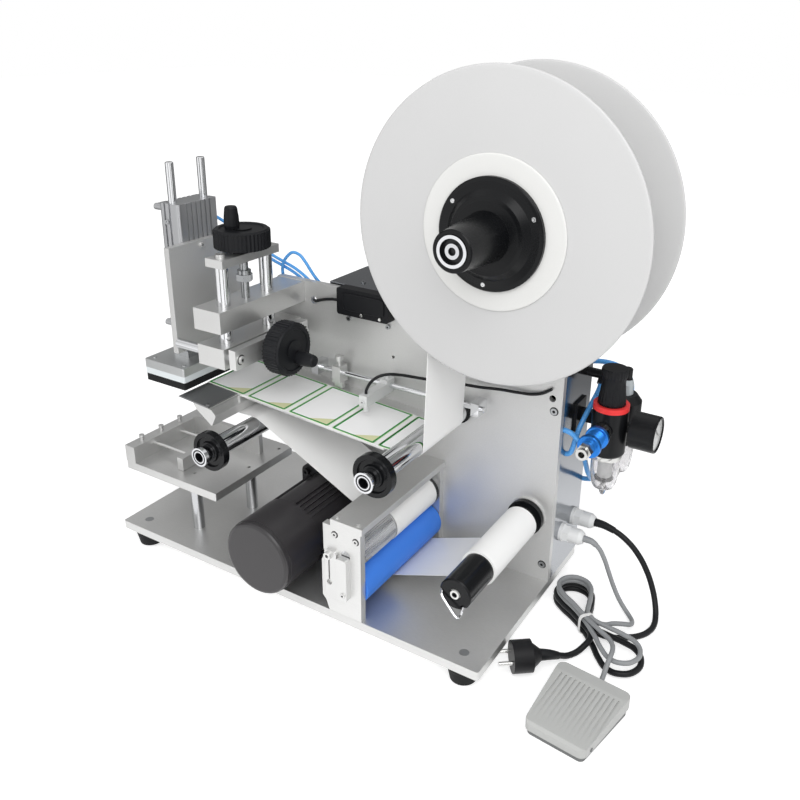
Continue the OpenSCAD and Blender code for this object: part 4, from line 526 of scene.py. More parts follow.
pedal_in = [[562, 212, 54], [571, 212, 54], [581, 212, 48], [589, 213, 35], [596, 214, 18], [603, 215, 1],
            [611, 215, -14], [620, 213, -24], [629, 207, -28], [635, 197, -26], [636, 186, -22],
            [630, 176, -17], [621, 168, -14.8], [612, 162.3, -16]]
pedal_out = [[608, 146.5, -10.4], [618, 141, -10.6], [626.3, 136.3, -10.8], [632, 130.5, -10.6],
             [635.8, 123, -10.4], [637.3, 115, -10.6], [637.6, 107.5, -12.6], [637.5, 100.5, -17],
             [637.4, 94, -22.3], [637.3, 88, -26.8], [637, 82.5, -28.7], [636.2, 75.4, -28.8]]
pedal_path = np.concatenate([pedal_in, hank(2.9, 19.1, FLOOR + 17.1, FLOOR + 22.6), pedal_out])
pedal = cord_curve("foot_switch_lead", pedal_path, 5.5, CORD_GREY)
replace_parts(pedal, "pedal_cord")

# Strips and tubes

def distances(line):
    """distance of each point of a line from its first, along it"""
    return np.r_[0, np.cumsum(np.linalg.norm(np.diff(line, axis=0), axis=1))]


def through(points, step=1.5):
    """points about step millimetres apart on a smooth line through the given ones: between two of them a
    cubic whose slope at each is the change of place over the change of distance across its neighbours"""
    p = np.asarray(points, float)
    s = distances(p)
    gap = np.diff(s)
    slope = np.gradient(p, s, axis=0)
    t = np.linspace(0, s[-1], int(s[-1] / step) + 2)
    k = np.clip(np.searchsorted(s, t, side="right") - 1, 0, len(gap) - 1)
    h = gap[k][:, None]
    u = ((t - s[k]) / gap[k])[:, None]
    return ((1 + 2 * u) * (1 - u) ** 2 * p[k] + u * (1 - u) ** 2 * h * slope[k]
            + u ** 2 * (3 - 2 * u) * p[k + 1] + u ** 2 * (u - 1) * h * slope[k + 1])


def tube(name, points, diameters, mat, body=None, n=20):
    """circles square to the smooth line through the points, as wide as the diameters say along its length;
    the first direction across is the line's own crossed with whichever fixed direction it stays farthest
    from"""
    line = through(points)
    ahead = np.gradient(line, axis=0)
    ahead /= np.linalg.norm(ahead, axis=1)[:, None]
    fixed = np.array([[1, 0, 0], [0, 1, 0], [0, 0, 1], [0.7, 0.7, 0], [0.7, -0.7, 0], [0, 0.7, 0.7],
                      [0.7, 0, 0.7]])
    across = np.cross(ahead, fixed[np.abs(ahead @ fixed.T).max(0).argmin()])
    across /= np.linalg.norm(across, axis=1)[:, None]
    over = np.cross(across, ahead)
    given = np.atleast_1d(diameters)
    r = np.interp(np.linspace(0, 1, len(line)), np.linspace(0, 1, len(given)), given)[:, None, None] / 2
    a = np.linspace(0, 2 * math.pi, n, endpoint=False)[None, :, None]
    grid = line[:, None] + r * (np.cos(a) * across[:, None] + np.sin(a) * over[:, None])
    return surface(name, at(grid), mat, body, wrap=(False, True), caps=(True, True))


def tangent(a, b):
    """direction of the straight run from wheel a to wheel b, each [x, z, r] with r below zero where the strip
    keeps the wheel on its left: the direction between the centres less the angle whose sine is the difference
    of the radii over their distance"""
    d = np.subtract(b[:2], a[:2])
    return math.atan2(d[1], d[0]) - math.asin(np.clip((a[2] - b[2]) / np.linalg.norm(d), -1, 1))


def round_wheels(wheels, step=math.radians(6)):
    """line of a strip that runs round the wheels: on each an arc from where it arrives to where it leaves"""
    out = []
    full = 2 * math.pi
    last = len(wheels) - 2
    for k, (x, z, r) in enumerate(wheels):
        quarter = -math.pi / 2 if r < 0 else math.pi / 2
        came = tangent(*wheels[max(k - 1, 0):][:2]) + quarter
        turn = tangent(*wheels[min(k, last):][:2]) + quarter - came
        turn -= full * (math.ceil(turn / full) if r > 0 else math.floor(turn / full))
        n = 1 if r == 0 or abs(turn) < 0.02 or abs(turn) > full - 0.02 else math.ceil(abs(turn) / step) + 1
        t = came + turn * np.linspace(0, 1, n)
        out.append(np.c_[x + abs(r) * np.cos(t), z + abs(r) * np.sin(t)])
    return np.concatenate(out)


def along(line, where):
    """places on the line in XZ at those distances along it, and their unit normals, each square to the line's
    direction over the millimetre round it"""
    s = distances(line)

    def place_at(d):
        return np.stack([np.interp(d, s, line[:, k]) for k in (0, 1)], -1)

    ahead = place_at(where + 0.5) - place_at(where - 0.5)
    ahead /= np.linalg.norm(ahead, axis=-1, keepdims=True) + 1e-9
    return place_at(where), np.stack([-ahead[..., 1], ahead[..., 0]], -1)


def strip(name, line, thick, mat):
    """a strip as wide as the label roll: four corners, half the thickness off the line on either side"""
    s = distances(line)
    place, normal = along(line, np.unique(np.concatenate([s, np.arange(0, s[-1], 6.0)])))
    ys = np.array([WEB_FRONT, WEB_BACK, WEB_BACK, WEB_FRONT])
    side = np.array([0.5, 0.5, -0.5, -0.5]) * thick
    xz = place[:, None] + normal[:, None] * side[None, :, None]
    grid = np.stack([xz[..., 0], np.broadcast_to(ys, xz.shape[:2]), xz[..., 1]], -1)
    return surface(name, at(grid), mat, "frame", wrap=(False, True), caps=(True, True))


def wheel(centre, radius):
    """a wheel of the strip's way, from its centre in space"""
    return [centre[0], centre[2], radius]


def platform_z(x):
    """height of the label platform at x: it falls 3.7 degrees towards the reel from 195.4 mm at x = 150"""
    return 195.4 - (np.asarray(x, float) - 150) * math.tan(math.radians(3.7))


# The web: flat on the blade and the platform, under its roller and up to the roll. The liner comes back below
# from the blade's edge, round its own roller, the tension pin, both driven rollers and onto the mandrel. Each
# radius is the wheel's own, half the strip's thickness and a little clearance
BLADE_EDGE = 101.0
PLATFORM_END = 366
flat = np.array([[x, platform_z(max(x, BLADE_EDGE)) + 0.35] for x in (101.8, 150, PLATFORM_END)])
to_roll = round_wheels([[PLATFORM_END, flat[2, 1], 0], wheel(WEB_ROLLER, -13.1), wheel(REEL, 66.6)])
web_line = np.concatenate([flat, to_roll[1:]])
web = strip("label_web_liner", web_line, 0.56, PAPER)
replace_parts(web, "label_web")
liner_line = round_wheels([[103, platform_z(BLADE_EDGE) - 2.2, 0], [152, 168.9, 0],
                           wheel(LINER_ROLLER, 12.95), [341, 94, -4.25], wheel(PINCH_ROLLER, 20.45),
                           wheel(DRIVE_ROLLER, -23.95), wheel(REWIND, -20.75)])
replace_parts(strip("empty_liner", liner_line, 0.28, LINER), "liner")

# Printed labels: LONG by WIDE millimetres, one every PITCH along the web, with a green frame line between two
# distances inside the outline and a pale corner that is a triangle of CORNER_LONG by CORNER_WIDE
LONG, WIDE, PITCH, CORNER_R = 58.6, 88.0, 64.2, 3.0
LINE_OUTSIDE, LINE_INSIDE = -0.9, -3.4
CORNER_LONG, CORNER_WIDE = 34, 22


def inside_label(tree, uv):
    """distance in millimetres to the label's rounded outline, below zero inside, from its UV map in
    millimetres: with q = |p - middle| - half + radius, the length of q where it is above zero, less the
    radius"""
    moved = put(tree, "VectorMath", {0: uv, 1: (-LONG / 2, -WIDE / 2, 0)}, operation="ADD")
    folded = put(tree, "VectorMath", {0: moved}, operation="ABSOLUTE")
    off = (CORNER_R - LONG / 2, CORNER_R - WIDE / 2, 0)
    q = put(tree, "VectorMath", {0: folded, 1: off}, operation="ADD")
    outer = put(tree, "VectorMath", {0: q, 1: (0, 0, 0)}, operation="MAXIMUM")
    far = put(tree, "VectorMath", {0: outer}, operation="LENGTH").outputs["Value"]
    parts = put(tree, "SeparateXYZ", {0: q})
    most = put(tree, "Math", {0: parts.outputs[0], 1: parts.outputs[1]}, operation="MAXIMUM")
    inner = put(tree, "Math", {0: most, 1: 0.0}, operation="MINIMUM")
    both = put(tree, "Math", {0: far, 1: inner}, operation="ADD")
    return put(tree, "Math", {0: both, 1: CORNER_R}, operation="SUBTRACT")


tree = PRINT.node_tree
uv = put(tree, "UVMap").outputs[0]
outline = inside_label(tree, uv)
in_frame = put(tree, "Math", {0: outline, 1: LINE_INSIDE}, operation="LESS_THAN")
past_margin = put(tree, "Math", {0: outline, 1: LINE_OUTSIDE}, operation="LESS_THAN")
line_mask = put(tree, "Math", {0: past_margin, 1: in_frame}, operation="SUBTRACT")
fringe = put(tree, "Math", {0: 1.0, 1: past_margin}, operation="SUBTRACT")
zone(PRINT, fringe, "#cfe4b8", 0.0, 0.42)
zone(PRINT, line_mask, "#238f3c", 0.0, 0.42)
parts = put(tree, "SeparateXYZ", {0: uv})
from_end = {0: parts.outputs[0], 1: -1 / CORNER_LONG, 2: LONG / CORNER_LONG}
reach = put(tree, "Math", from_end, operation="MULTIPLY_ADD")
slant = put(tree, "Math", {0: parts.outputs[1], 1: 1 / CORNER_WIDE, 2: reach}, operation="MULTIPLY_ADD")
in_corner = put(tree, "Math", {0: slant, 1: 1.0}, operation="LESS_THAN")
zone(PRINT, put(tree, "Math", {0: in_corner, 1: in_frame}, operation="MULTIPLY"), "#dbdcae", 0.0, 0.42)


def label(name, start):
    """one label on the web from that distance along it: a grid whose ends draw in by radius - sqrt(radius^2 -
    depth^2) near its corners, on both faces of a skin 0.12 mm thick, with its UV map in millimetres"""
    bend = CORNER_R * (1 - np.cos(np.linspace(0, math.pi / 2, 7)))
    v = np.concatenate([bend, np.linspace(CORNER_R, WIDE - CORNER_R, 12)[1:-1], WIDE - bend[::-1]])
    depth = np.maximum(CORNER_R - np.minimum(v, WIDE - v), 0)
    drawn = CORNER_R - np.sqrt(np.maximum(CORNER_R ** 2 - depth ** 2, 0))
    u = drawn[None] + np.linspace(0, 1, 25)[:, None] * (LONG - 2 * drawn[None])
    place, normal = along(web_line, start + u)
    y = np.broadcast_to(WEB_FRONT + (WEB_BACK - WEB_FRONT - WIDE) / 2 + v, u.shape)
    faces, maps = [], []
    for off, order in ((0.30, 1), (0.42, -1)):
        xz = place + normal * off
        faces.append(np.stack([xz[..., 0], y, xz[..., 1]], -1)[:, ::order])
        maps.append(np.stack([u, np.broadcast_to(v, u.shape)], -1)[:, ::order])
    return surface(name, at(np.concatenate(faces, 1)), PRINT, "frame", wrap=(False, True), caps=(True, True),
                   uv=np.concatenate(maps, 1), sharp=25)


# the last label ends a few millimetres before the web touches the roll
FIRST_LABEL, ROLL_MARGIN = 0.2, 4
last_start = distances(web_line)[-1] - LONG - ROLL_MARGIN
for k, start in enumerate(np.arange(FIRST_LABEL, last_start, PITCH)):
    label(f"printed_label_{k + 1}", start)


# Painted shade in screw sockets and in the gaps round countersunk heads: dark discs and rings

def ring_rows(places, axis, sign, inner, outer):
    """rows for rings(): one ring of those radii at each place, facing along the axis with that sign"""
    return [(*p, axis, sign, inner, outer) for p in places]


def rings(name, rows, body, n=24):
    """flat rings in one mesh, each row x, y, z, axis, sign, inner radius, outer radius: four circles, two at
    the place and two a tenth of a millimetre out along the axis"""
    t = np.linspace(0, 2 * math.pi, n, endpoint=False)
    points = np.zeros((len(rows), 4, n, 3))
    for k, (x, y, z, axis, sign, inner, outer) in enumerate(rows):
        i = "xyz".index(axis)
        r = np.array([inner, inner, outer, outer])[:, None]
        points[k, :, :, i] = np.array([0.0, 0.1, 0.1, 0.0])[:, None] * sign
        points[k, :, :, (i + 1) % 3] = r * np.cos(t)
        points[k, :, :, (i + 2) % 3] = sign * r * np.sin(t)
        points[k] += (x, y, z)
    faces = (quads_of(4, n, (True, True))[None] + 4 * n * np.arange(len(rows))[:, None, None]).reshape(-1, 4)
    mesh = bpy.data.meshes.new(name)
    mesh.from_pydata(at(points.reshape(-1, 3)).tolist(), [], faces[:, ::-1].tolist())
    return add(name, mesh, SHADOW, body)


# a full disc starts this far off its middle; each lies just above the face of the screw's head
HOLE = 0.05
panel_heads = [(524, 22), (524, 225), (524, 460), (446, 460), (211, 14)]
box_heads = [(352, 104), (380, 104)]
rings("frame_socket_shade", ring_rows([(x, PANEL_FACE - 0.48, z) for x, z in panel_heads], "y", -1, HOLE, 2.0)
      + ring_rows([(x, PANEL_FACE, z) for x, z in panel_heads], "y", -1, 4.05, 5.2)
      + ring_rows([(x, PANEL_FACE - 1.2, 281) for x in (246, 304)], "y", -1, HOLE, 1.5)
      + ring_rows([(x, -0.56, z) for x, z in box_heads], "y", -1, HOLE, 1.6)
      + ring_rows([(x, 0, z) for x, z in box_heads], "y", -1, 3.25, 4.3)
      + ring_rows([(346, -5.6, 78)], "y", -1, HOLE, 2.25)
      + ring_rows([(367, -8.6, 34)], "y", -1, HOLE, 1.5), "frame")
rod_heads = [(y, SIDE_SCREW[2]) for y in SIDE_RODS_Y]
plate_heads = [(y, z) for y in (93, 121) for z in (290, 370)]
rings("head_socket_shade", ring_rows([(191.7, y, z) for y, z in rod_heads], "x", 1, HOLE, 2.5)
      + ring_rows([(190.5, y, z) for y, z in rod_heads], "x", 1, 5.05, 6.2)
      + ring_rows([(91.7, y, z) for y, z in plate_heads], "x", 1, HOLE, 1.7), "offset_slide")
rings("post_socket_shade", ring_rows([(LIFT_SCREW[0], y, 375.6) for y in LIFT_POSTS_Y], "z", 1, HOLE, 2.75),
      "lift_slide")
rings("pad_socket_shade", ring_rows([(x, y, 228.5) for x in (41, 92) for y in (46, 156)], "z", 1, HOLE, 1.3),
      "press")
rings("sensor_socket_shade", ring_rows([(311, 113.4, 208)], "y", -1, HOLE, 1.3), "gap_sensor")

# Air tubes and the sensor's lead, each through the listed points
PORTS = [(201.0, 291.5), (203.0, 280.0), (203.0, 303.0)]
head_1 = [[42, 82.8, 414], [42, 95, 413.6], [42, 108, 411.5], [42, 122, 407.5], [42.5, 136, 401.8],
          [45, 149, 395], [51, 161, 387], [62, 171, 376], [78, 180, 364], [96, 186, 351], [116, 190, 340],
          [134, 192, 333], [152, 193, 326.5], [167, 194, 318], [179, 195.5, 308], [188, 197.5, 299.5],
          [196, 199.5, 294], [203, 201, 292], [208, 201, 291.5]]
head_2 = [[42, 82.8, 267], [42, 95, 267], [42, 108, 267.2], [41, 122, 268], [40.5, 134, 271],
          [41, 143, 278], [42, 149, 290], [43, 154, 308], [45.5, 159, 326], [51, 165, 342], [61, 172, 351],
          [74, 178.5, 352], [89, 184, 346], [106, 188.5, 338], [121, 191.5, 331], [136, 194, 325],
          [151, 196, 318], [165, 198, 307.5], [176, 199.5, 296.5], [186, 201, 287.5], [196, 202.5, 281.5],
          [203, 203, 280], [208, 203, 280]]
head_3 = [[134, 188.4, 291], [134, 190.6, 291], [133.6, 193.6, 293], [132.5, 195, 300], [131.5, 194, 309],
          [132.5, 190.5, 320], [137, 187, 332], [145, 186, 343], [154, 187, 349.5], [163, 188.5, 347.5],
          [171, 190, 339], [177, 192, 329], [182.5, 195, 319], [189, 198.5, 310.5], [196, 201.5, 305],
          [203, 203, 303], [208, 203, 303]]
valve_1 = [[552, 247.9, 239.5], [552, 245.3, 236.5], [551, 240.5, 230.3], [549, 234, 222], [547, 226, 213],
           [545, 218, 203.5], [543, 211, 192.5], [541.8, 206.5, 181.5], [540.4, 204.5, 172.5],
           [538.3, 204, 166.6], [534, 204, 164], [529.5, 204, 164]]
valve_2 = [[529.5, 191.8, 199.5], [535.5, 191.8, 199.5], [541.5, 192.8, 197.5], [546.5, 195, 192.5],
           [550.5, 198.5, 186], [553, 202.5, 177.5], [554, 207, 167], [554, 213, 156], [554, 220, 145],
           [553.5, 228, 134.5], [553, 237, 125.5], [552.5, 246.5, 117.5], [551.5, 256, 111],
           [549.5, 265, 105.5], [545.5, 272, 101], [539.5, 275.5, 97.5], [532, 277.5, 95], [524, 278, 94],
           [517.5, 277, 93.5], [513.2, 274.6, 93.5], [511.5, 271.5, 93.5], [511.5, 267, 93.5]]
outlet = [[578, 285, 220.2], [578, 285, 226], [577, 285.3, 233], [573.5, 285.8, 240.5], [567, 286, 247],
          [558, 285.5, 251.5], [548, 284, 253.5], [538, 282.5, 253.5], [528, 281, 252], [520, 280, 250.5],
          [515, 276.5, 250], [513, 272, 250], [513, 267, 250]]
sensor_lead = [[311, 121, 216.4], [311, 121.3, 219.5], [312.5, 122, 224.4], [316.5, 125, 232.2],
               [322.8, 131, 237.7], [331.6, 139, 239.5], [341.2, 148, 237.8], [359.7, 160, 234],
               [385, 167, 233], [412.2, 170, 235], [435, 172, 236], [459.3, 174, 238.4],
               [482, 175.5, 239.5], [498, 176.5, 241], [510, 177.4, 245], [520, 178, 252]]

# Each moving head tube is cut at a point of its own smooth line, so both halves meet there in one direction.
HEAD_TUBE_D, AIR_TUBE_D, LEAD_D = 4, 6, 3.6
for name, points, split in (("head_tube_upper", head_1, 9), ("head_tube_lower", head_2, 12)):
    line = through(points)
    cut = int(np.linalg.norm(line - points[split], axis=1).argmin())
    near_head = tube(name + "_head", line[:cut + 1], HEAD_TUBE_D, TUBE)
    near_wall = tube(name + "_wall", line[cut:][::-1], HEAD_TUBE_D, TUBE)
    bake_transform(near_head)
    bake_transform(near_wall)
    if name == "head_tube_upper":
        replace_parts(near_head, "air_tubes")
tube("head_tube_spare", head_3, HEAD_TUBE_D, TUBE, "frame")
for name, points in (("valve_tube_1", valve_1), ("valve_tube_2", valve_2), ("outlet_tube", outlet)):
    tube(name, points, AIR_TUBE_D, TUBE, "frame")
lead = tube("sensor_lead", sensor_lead, LEAD_D, CORD_BLACK)
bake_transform(lead)
collar = [(2.2, 0), (4.2, 0), (4.2, 4.6), (3.8, 5.6), (2.9, 6), (2.2, 6)]
for k, (y, z) in enumerate(PORTS):
    turned(f"push_in_collar_{k + 1}", "x", (205, y, z), collar, ACETAL, "frame", n=32)


# Reel: two discs, the loose washer in front of them, and the spool between them

AXLE_HOLE = 12.05


def reel_plate(name, y, thick, radius, mat):
    """a round plate on the reel's axle from y back, its rim rounded to half its thickness"""
    half = thick / 2
    a = np.radians(np.linspace(-90, 90, 7))
    rim = np.c_[radius - half + half * np.cos(a), half + half * np.sin(a)]
    front = [(AXLE_HOLE, 0), (AXLE_HOLE + 2, 0), (radius - thick * 1.6, 0)]
    behind = [(r, thick) for r, _ in front[::-1]]
    return turned(name, "y", (REEL[0], y, REEL[2]), np.concatenate([front, rim, behind]), mat, "reel", n=192)


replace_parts(reel_plate("reel_disc_front", 67, 3, 150, DISC), "reel_discs")
reel_plate("reel_disc_back", 167, 3, 150, DISC)
reel_plate("reel_washer", 65, 2, 74, WASHER)
turned("reel_spool", "y", (REEL[0], 70, REEL[2]), [(AXLE_HOLE, 0), (36, 0), (36, 97), (AXLE_HOLE, 97)], DISC,
       "reel")


# Air unit: hollow bowls with a collar, a drain, and the filter or the sight tube inside

def on_unit(name, y, profile, mat, n):
    """a piece turned round an upright line through the air unit at y"""
    return turned(name, "z", (AIR_X, y, 0), profile, mat, "frame", n=n)


bowl_out = [(0.4, 121), (1.8, 121.2), (3.4, 124), (3.9, 126), (5, 129), (9, 131), (12, 133), (13.8, 137),
            (15, 143), (16.1, 153), (16.5, 163), (16.5, 177)]
bowl_in = [(14.7, 177), (14.7, 163), (14.3, 153), (13.2, 144), (12, 138.6), (10.4, 135), (7, 133),
           (0.4, 132.4)]
bowl_collar = [(16.52, 170.5), (17.6, 170.9), (17.9, 173), (17.9, 176), (17.5, 177), (16.52, 177)]
drain = [(0.3, 132.5), (3, 132.5), (3.2, 137), (2.2, 138), (0.3, 138)]
filter_bowl = on_unit("filter_bowl", FILTER_Y, bowl_out + bowl_in, BOWL, 64)
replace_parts(filter_bowl, "air_bowls")
on_unit("filter_bowl_collar", FILTER_Y, bowl_collar, NICKEL, 64)
on_unit("filter_bowl_drain", FILTER_Y, drain, NICKEL, 32)
on_unit("oil_bowl", OIL_Y, bowl_out + bowl_in, BOWL, 64)
on_unit("oil_bowl_collar", OIL_Y, bowl_collar, ACETAL, 64)
on_unit("oil_bowl_drain", OIL_Y, drain, NICKEL, 32)
on_unit("filter_element", FILTER_Y, [(0.3, 146), (7.6, 146), (8.2, 147), (8.2, 170), (9.5, 171), (9.5, 176.9),
                                     (0.3, 176.9)], FILTER, 48)
on_unit("filter_baffle", FILTER_Y, [(0.3, 142.6), (10.5, 142.6), (11.2, 144), (4, 145.9), (0.3, 145.9)],
        ACETAL, 48)
on_unit("oil_sight_tube", OIL_Y, [(0.3, 141), (1.6, 141), (1.6, 165), (6, 170), (9.5, 173), (9.5, 176.9),
                                  (0.3, 176.9)], FILTER, 32)

# Gauge dial: white enamel under glass, with a tick every 9 degrees and a line inside them, all left out at
# the bottom, where a pressure gauge's scale is open
TICK_STEP, TICK_HALF = math.radians(9), 0.1
TICK_FROM, TICK_TO = 12.8, 15.6
LINE_R, LINE_HALF = 12.6, 0.22
SCALE_OPEN_BELOW = -8.5
DIAL = finish("enamelled_gauge_dial", "#f2f3f2", 0.0, 0.3, grain=0.8, tone=0.01,
              **{"Coat Weight": 1.0, "Coat Roughness": 0.03})
tree = DIAL.node_tree
dial_uv = put(tree, "UVMap").outputs[0]
parts = put(tree, "SeparateXYZ", {0: dial_uv})
angle = put(tree, "Math", {0: parts.outputs[1], 1: parts.outputs[0]}, operation="ARCTAN2")
radius = put(tree, "VectorMath", {0: dial_uv}, operation="LENGTH").outputs["Value"]
steps = put(tree, "Math", {0: angle, 1: 1 / TICK_STEP}, operation="MULTIPLY")
part = put(tree, "Math", {0: steps}, operation="FRACT")
part = put(tree, "Math", {0: part, 1: 0.5}, operation="SUBTRACT")
part = put(tree, "Math", {0: part}, operation="ABSOLUTE")
close = put(tree, "Math", {0: part, 1: TICK_HALF}, operation="LESS_THAN")
outer = put(tree, "Math", {0: radius, 1: TICK_TO}, operation="LESS_THAN")
inner = put(tree, "Math", {0: radius, 1: TICK_FROM}, operation="GREATER_THAN")
ring = put(tree, "Math", {0: outer, 1: inner}, operation="MULTIPLY")
ticks = put(tree, "Math", {0: ring, 1: close}, operation="MULTIPLY")
off_line = put(tree, "Math", {0: radius, 1: -LINE_R}, operation="ADD")
off_line = put(tree, "Math", {0: off_line}, operation="ABSOLUTE")
on_line = put(tree, "Math", {0: off_line, 1: LINE_HALF}, operation="LESS_THAN")
marks = put(tree, "Math", {0: ticks, 1: on_line}, operation="MAXIMUM")
upper = put(tree, "Math", {0: parts.outputs[1], 1: SCALE_OPEN_BELOW}, operation="GREATER_THAN")
zone(DIAL, put(tree, "Math", {0: marks, 1: upper}, operation="MULTIPLY"), "#2a2c30", 0.0, 0.4)

# Gauge: dial, bezel, needle and hub; the dial's rows run out on its face and back in behind it
DIAL_FACE = GAUGE_X + 0.35
t = np.linspace(0, 2 * math.pi, 64, endpoint=False)
r = np.array([0.2, 6, 12, 17.6])[:, None]
face = np.stack([np.full((4, 64), DIAL_FACE), GAUGE_Y + r * np.cos(t), GAUGE_Z + r * np.sin(t)], -1)
skin = np.concatenate([face, face[::-1] - [0.3, 0, 0]], 0)
surface("gauge_dial", at(skin), DIAL, "frame", wrap=(False, True), caps=(True, True),
        uv=(skin - [0, GAUGE_Y, GAUGE_Z])[..., 1:])
bezel = [(17.7, 0.02), (20.9, 0.02), (21, 0.8), (20.4, 1.9), (19.4, 2.2), (18.3, 1.7), (17.7, 0.9)]
turned("gauge_bezel", "x", (GAUGE_X, GAUGE_Y, GAUGE_Z), bezel, ACETAL, "frame", n=64)
a = math.radians(128)
points_to = np.array([math.cos(a), math.sin(a)])
wide = np.array([-math.sin(a), math.cos(a)])
tip, tail = points_to * 11.5, -points_to * 3.5
needle_yz = np.array([tail + wide * 0.9, tail - wide * 0.9, tip - wide * 0.15, tip + wide * 0.15])
needle = np.stack([np.c_[np.full(4, GAUGE_X + x), needle_yz + [GAUGE_Y, GAUGE_Z]] for x in (0.5, 0.8)])
surface("gauge_needle", at(needle), CORD_BLACK, "frame", wrap=(False, True), caps=(True, True))
hub = [(0.2, 0), (1.9, 0), (1.9, 0.7), (1.2, 1.1), (0.2, 1.1)]
turned("gauge_hub", "x", (GAUGE_X + 0.4, GAUGE_Y, GAUGE_Z), hub, NICKEL, "frame", n=24)

# Blue sleeve of the valve: two flanges and between them rings 1.45 mm apart and 0.7 mm deep
SLEEVE_END, RING_PITCH = 190, 1.45
ringed = [(10.3 + 0.35 * math.cos(2 * math.pi * y / RING_PITCH), y) for y in np.linspace(-37.7, -20.3, 60)]
sleeve = [(7.1, -44), (12.2, -44), (13, -43), (13, -39), (12.2, -38), *ringed,
          (12.2, -20), (13, -19), (13, -15), (12.2, -14), (7.1, -14)]
valve_sleeve = turned("valve_sleeve_ringed", "y", (VALVE[0], SLEEVE_END, VALVE[2]), sleeve, VALVE_BLUE,
                      "valve_ring", n=64)
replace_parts(valve_sleeve, "valve_sleeve")

# Grip of the regulator's knob: 24 flutes, as deep as the third number of each row says
FLUTES = 24
rows = np.array([[0.4, 237.4, 0], [15, 237.4, 0], [15.4, 240.4, 0.5], [15.0, 245, 0.5], [14.3, 250, 0.4],
                 [13.5, 257, 0.2], [12.9, 263, 0], [13.2, 267.4, 0], [14.4, 270.2, 0.4], [14.7, 271, 0.5],
                 [14.7, 275, 0.5], [14.6, 277.8, 0.4], [13.7, 279.3, 0], [0.4, 279.3, 0]])
t = np.linspace(0, 2 * math.pi, 192, endpoint=False)
r = rows[:, :1] - rows[:, 2:] * (0.5 + 0.5 * np.cos(FLUTES * t))[None]
grid = np.stack([AIR_X + r * np.cos(t), FILTER_Y + r * np.sin(t), np.broadcast_to(rows[:, 1:2], r.shape)], -1)
grip = surface("regulator_grip", at(grid), NYLON, "pressure_knob", wrap=(False, True), caps=(True, True))
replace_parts(grip, "regulator_knob")


# Strap round both cords, strain reliefs and the amplifier's trim

def oblong(t, power):
    """a rounded oblong one unit from its middle: cosine and sine of t, each to that power with its sign"""
    return tuple(np.sign(f) * np.abs(f) ** power for f in (np.cos(t), np.sin(t)))


# the strap is 8.8 by 12.3 mm from its middle line out, 4 mm wide, and flattened where it meets the floor
STRAP_SIDE, STRAP_HEIGHT, STRAP_MIDDLE = 8.8, 12.3, -20.1
strap_x, strap_z = oblong(np.linspace(0, 2 * math.pi, 72, endpoint=False), 0.5)
run = (BUNDLE_FRONT - BUNDLE_BACK) / np.linalg.norm(BUNDLE_FRONT - BUNDLE_BACK)
side_way = np.array([-run[1], run[0]])
section = np.array([[-2, -0.4], [-1.6, 0.5], [1.6, 0.5], [2, -0.4], [1.6, -0.6], [-1.6, -0.6]])
ring_xy = WAIST + (STRAP_SIDE + section[None, :, 1:]) * strap_x[:, None, None] * side_way
ring_xy = ring_xy + section[None, :, :1] * run
ring_z = np.maximum(STRAP_MIDDLE + (STRAP_HEIGHT + section[None, :, 1]) * strap_z[:, None], FLOOR + 0.1)
surface("cord_strap", at(np.concatenate([ring_xy, ring_z[..., None]], -1)), STRAP, "frame", wrap=(True, True))

# tapered sleeves on the mains lead at its gland and its plug, and on the foot switch's lead at its gland
mains_sleeve = [[559.5, 250, 56], [566, 250, 56], [572, 250, 55.9], [580, 249.6, 54.7], [587, 249.1, 53.2]]
plug_sleeve = [[568.9, 75.1, -15], [570.8, 76.8, -15.1], [573.6, 79.2, -15.5], [577.8, 84, -17.2],
               [582.5, 90.5, -20.5], [584.6, 94, -22.6]]
switch_sleeve = [[559.5, 212, 54], [566, 212, 54], [572, 212, 53.6], [578, 212, 50.4]]
tube("mains_relief", mains_sleeve, (10.6, 8.2), CORD_BLACK, "frame")
tube("plug_relief", plug_sleeve, (13.6, 11.4, 8.4), CORD_BLACK, "frame")
tube("foot_switch_relief", switch_sleeve, (8.6, 6.6), CORD_GREY, "frame")

# raised lid with a chamfered edge, each row its y and how far it draws in, and two white metal screws
LID_X, LID_Z, LID_LONG, LID_HIGH = 277.5, 308, 30, 11
lid_x, lid_z = oblong(np.linspace(0, 2 * math.pi, 48, endpoint=False), 0.25)
lid = [np.stack([LID_X + (LID_LONG - drawn) * lid_x, np.full(48, y), LID_Z + (LID_HIGH - drawn) * lid_z], -1)
       for y, drawn in ((165.02, 0), (163.9, 0), (163.4, 0.6))]
surface("amplifier_lid", at(np.array(lid)), NYLON, "frame", wrap=(False, True), caps=(True, True))
screw_head = [(0.2, 0), (1.6, 0), (2.3, 0.8), (2.4, 2.6), (0.2, 2.6)]
for k, x in enumerate((274.9, 301.9)):
    turned(f"amplifier_screw_{k + 1}", "y", (x, 162.4, 294.4), screw_head, NICKEL, "frame", n=24)


# Room: a pale floor and pale surroundings, of which polished metal sees a dark back and two dark upright
# flags, and one soft lamp. The level directions away from the camera and to its right are rounded
AWAY, TO_RIGHT = (-0.51, 0.86, 0), (0.86, 0.51, 0)
BACK_SHADE, FLAG_SHADE, FLAG_EDGE = 0.20, 0.12, 0.05
FLAGS = ((0.52, 0.07), (-0.45, 0.07))


